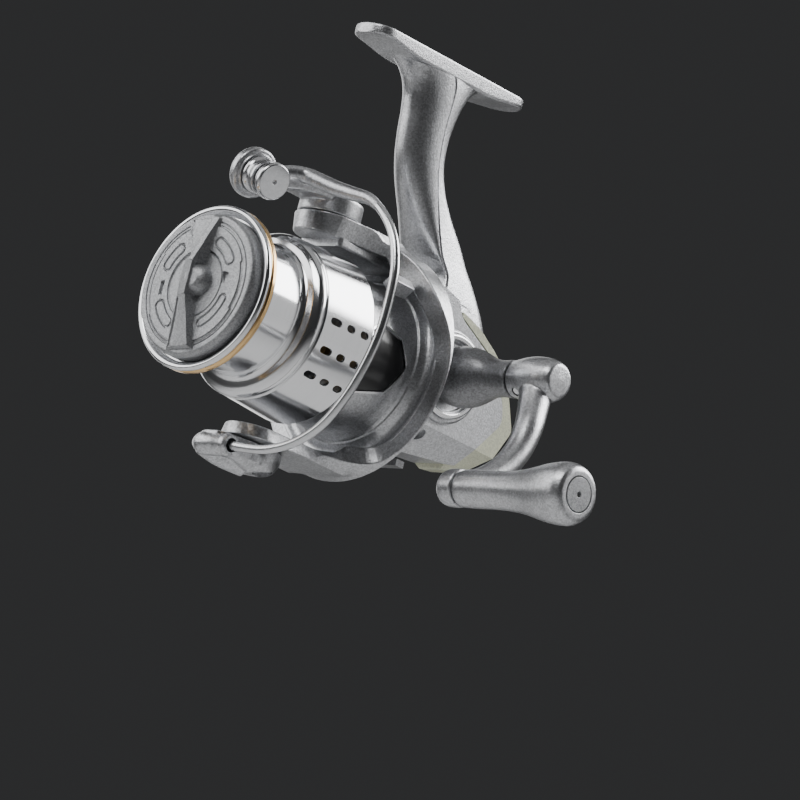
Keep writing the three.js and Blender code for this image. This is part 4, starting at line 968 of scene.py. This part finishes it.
COVER_OUTLINE = [
    (70.9, -15.6, 1), (80, -15.6, 1.5), (100, -13.2, 1.5), (102.6, -8.8, 1), (105.4, -2, 2),
    (102.8, 5.4, 2), (98, 13, 2), (87.4, 21.6, 2), (80, 24, 2), (70.9, 23.4, 1),
]
COVER_SCREWS = [(73.2, 19.4), (98.4, -9.6), (74.2, -12.6)]
cover = plate(fillet(COVER_OUTLINE, 1, 5), -HALF - 2.6, -HALF - 0.3, "YZ", bevel=0.8, segments=4)
cover_boss = on_crank(lathe([
    (4, -16.4), (9.5, -16.4, 0.4), (10.2, -15.8, 0.6), (10.6, -12.6), (4, -12.6),
], 96))
recess = on_crank(lathe([(0, -18), (4, -18), (4, -10), (0, -10)], 48, 0))
SCREW_HOLE = [(0, -20), (2.4, -20), (2.4, -13.6), (1.4, -13.6), (1.4, -9), (0, -9)]
screw_holes = [moved(lathe(SCREW_HOLE, 40, 0), X_AXIS, (0, y, z)) for y, z in COVER_SCREWS]
cover = boolean(boolean(cover, cover_boss, operation="UNION"), recess, *screw_holes)
piece("side_cover_plate", cover, "housing", "silver_paint", ["side_cover"], sharp=34)
for number, (y, z) in enumerate(COVER_SCREWS, 1):
    screw = lathe([
        (0, -15.1), (1.6, -15.1, 0.3), (2.1, -14.7, 0.3), (2.1, -13.9), (1.1, -13.9), (1.1, -12), (0, -12),
    ], 40)
    slit = plate([(-1.2, -0.25), (1.2, -0.25), (1.2, 0.25), (-1.2, 0.25)], -16, -14.4, "XZ", bevel=0)
    screw = moved(boolean(screw, slit), X_AXIS, (0, y, z))
    piece(f"cover_screw_slotted_{number}", screw, "housing", "steel", [f"cover_screw_{number}"])
boss_ring = lathe([(9.6, 13.7), (11.4, 13.7, 0.2), (11.2, 14.6, 0.4), (9.9, 14.6, 0.3)], 120)
piece("boss_ring_polished", on_crank(boss_ring), "housing", "polished_alloy", ["boss_ring"])
piece("handle_cap_far_side", on_crank(lathe([
    (0, -19), (6.6, -19, 0.8), (8.1, -17.8, 0.8), (8.2, -16.8, 0.2), (3.4, -16.7), (3.4, -12.6),
    (2.4, -12.4), (2.4, -10.6), (0, -10.6),
], 96)), "drive", "dark_paint", ["handle_screw_cap"])

# ---------- floor, lights and camera ----------
MIDDLE = Vector((0.012, -0.012, -0.062))
FLOOR_Z = -0.62


def light(name, direction, distance, width, height, power):
    """A soft box that faces the reel."""
    lamp = bpy.data.lights.new(name, "AREA")
    lamp.shape = "RECTANGLE"
    lamp.size, lamp.size_y = width, height
    lamp.energy = power
    obj = bpy.data.objects.new(name, lamp)
    away = Vector(direction).normalized()
    obj.location = MIDDLE + away * distance
    obj.rotation_euler = away.to_track_quat("Z", "Y").to_euler()
    bpy.context.scene.collection.objects.link(obj)


light("rear_box", (0.34, 0.69, 0.60), 0.9, 0.66, 0.5, 9)
light("right_box", (0.80, 0.60, 0.04), 1.2, 0.8, 1.0, 1.6)
light("front_box", (-0.66, -0.66, 0.36), 1.1, 1.3, 0.9, 9)
light("ceiling_box", (0.0, 0.1, 1.0), 2.4, 2.4, 2.4, 6)
light("left_box", (-0.9, 0.35, 0.25), 1.2, 1.0, 1.0, 4)
light("top_front_box", (0.15, -0.68, 0.62), 1.0, 0.5, 0.35, 4)

world = bpy.data.worlds.new("studio")
bpy.context.scene.world = world
world.use_nodes = True
backdrop = world.node_tree.nodes["Background"]
backdrop.inputs["Color"].default_value = (0.30, 0.305, 0.315, 1)
backdrop.inputs["Strength"].default_value = 0.1

floor_mesh = bpy.data.meshes.new("floor")
FLOOR_HALF = 6.0
corners = [(-1, -1), (1, -1), (1, 1), (-1, 1)]
floor_mesh.from_pydata([(x * FLOOR_HALF, y * FLOOR_HALF, FLOOR_Z) for x, y in corners], [], [(0, 1, 2, 3)])
floor = bpy.data.objects.new("floor", floor_mesh)
bpy.context.scene.collection.objects.link(floor)
floor_mesh.materials.append(surface("floor_pale", (0.72, 0.72, 0.72), 0.8, 0.0, 0.01, 30, 0.05, 20, 0.02))

# The photo's viewing angle, as the directions of the picture's right and top edges and towards the camera.
RIGHT = Vector((0.7237, 0.6460, 0.2432))
UP = Vector((-0.0306, -0.3220, 0.9463))
BACK = Vector((0.6895, -0.6922, -0.2132))
CAMERA_RIGHT = 50.53
CAMERA_DOWN = 28.90
CAMERA_AWAY = 2061.9
LENS = 360
camera_data = bpy.data.cameras.new("camera")
camera_data.lens = LENS
camera_data.sensor_width = 36
camera_data.clip_start, camera_data.clip_end = 0.1, 20
camera = bpy.data.objects.new("camera", camera_data)
camera.location = LIP + (RIGHT * CAMERA_RIGHT - UP * CAMERA_DOWN + BACK * CAMERA_AWAY) * MM
camera.rotation_euler = Matrix((RIGHT, UP, BACK)).transposed().to_euler()
bpy.context.scene.collection.objects.link(camera)
bpy.context.scene.camera = camera
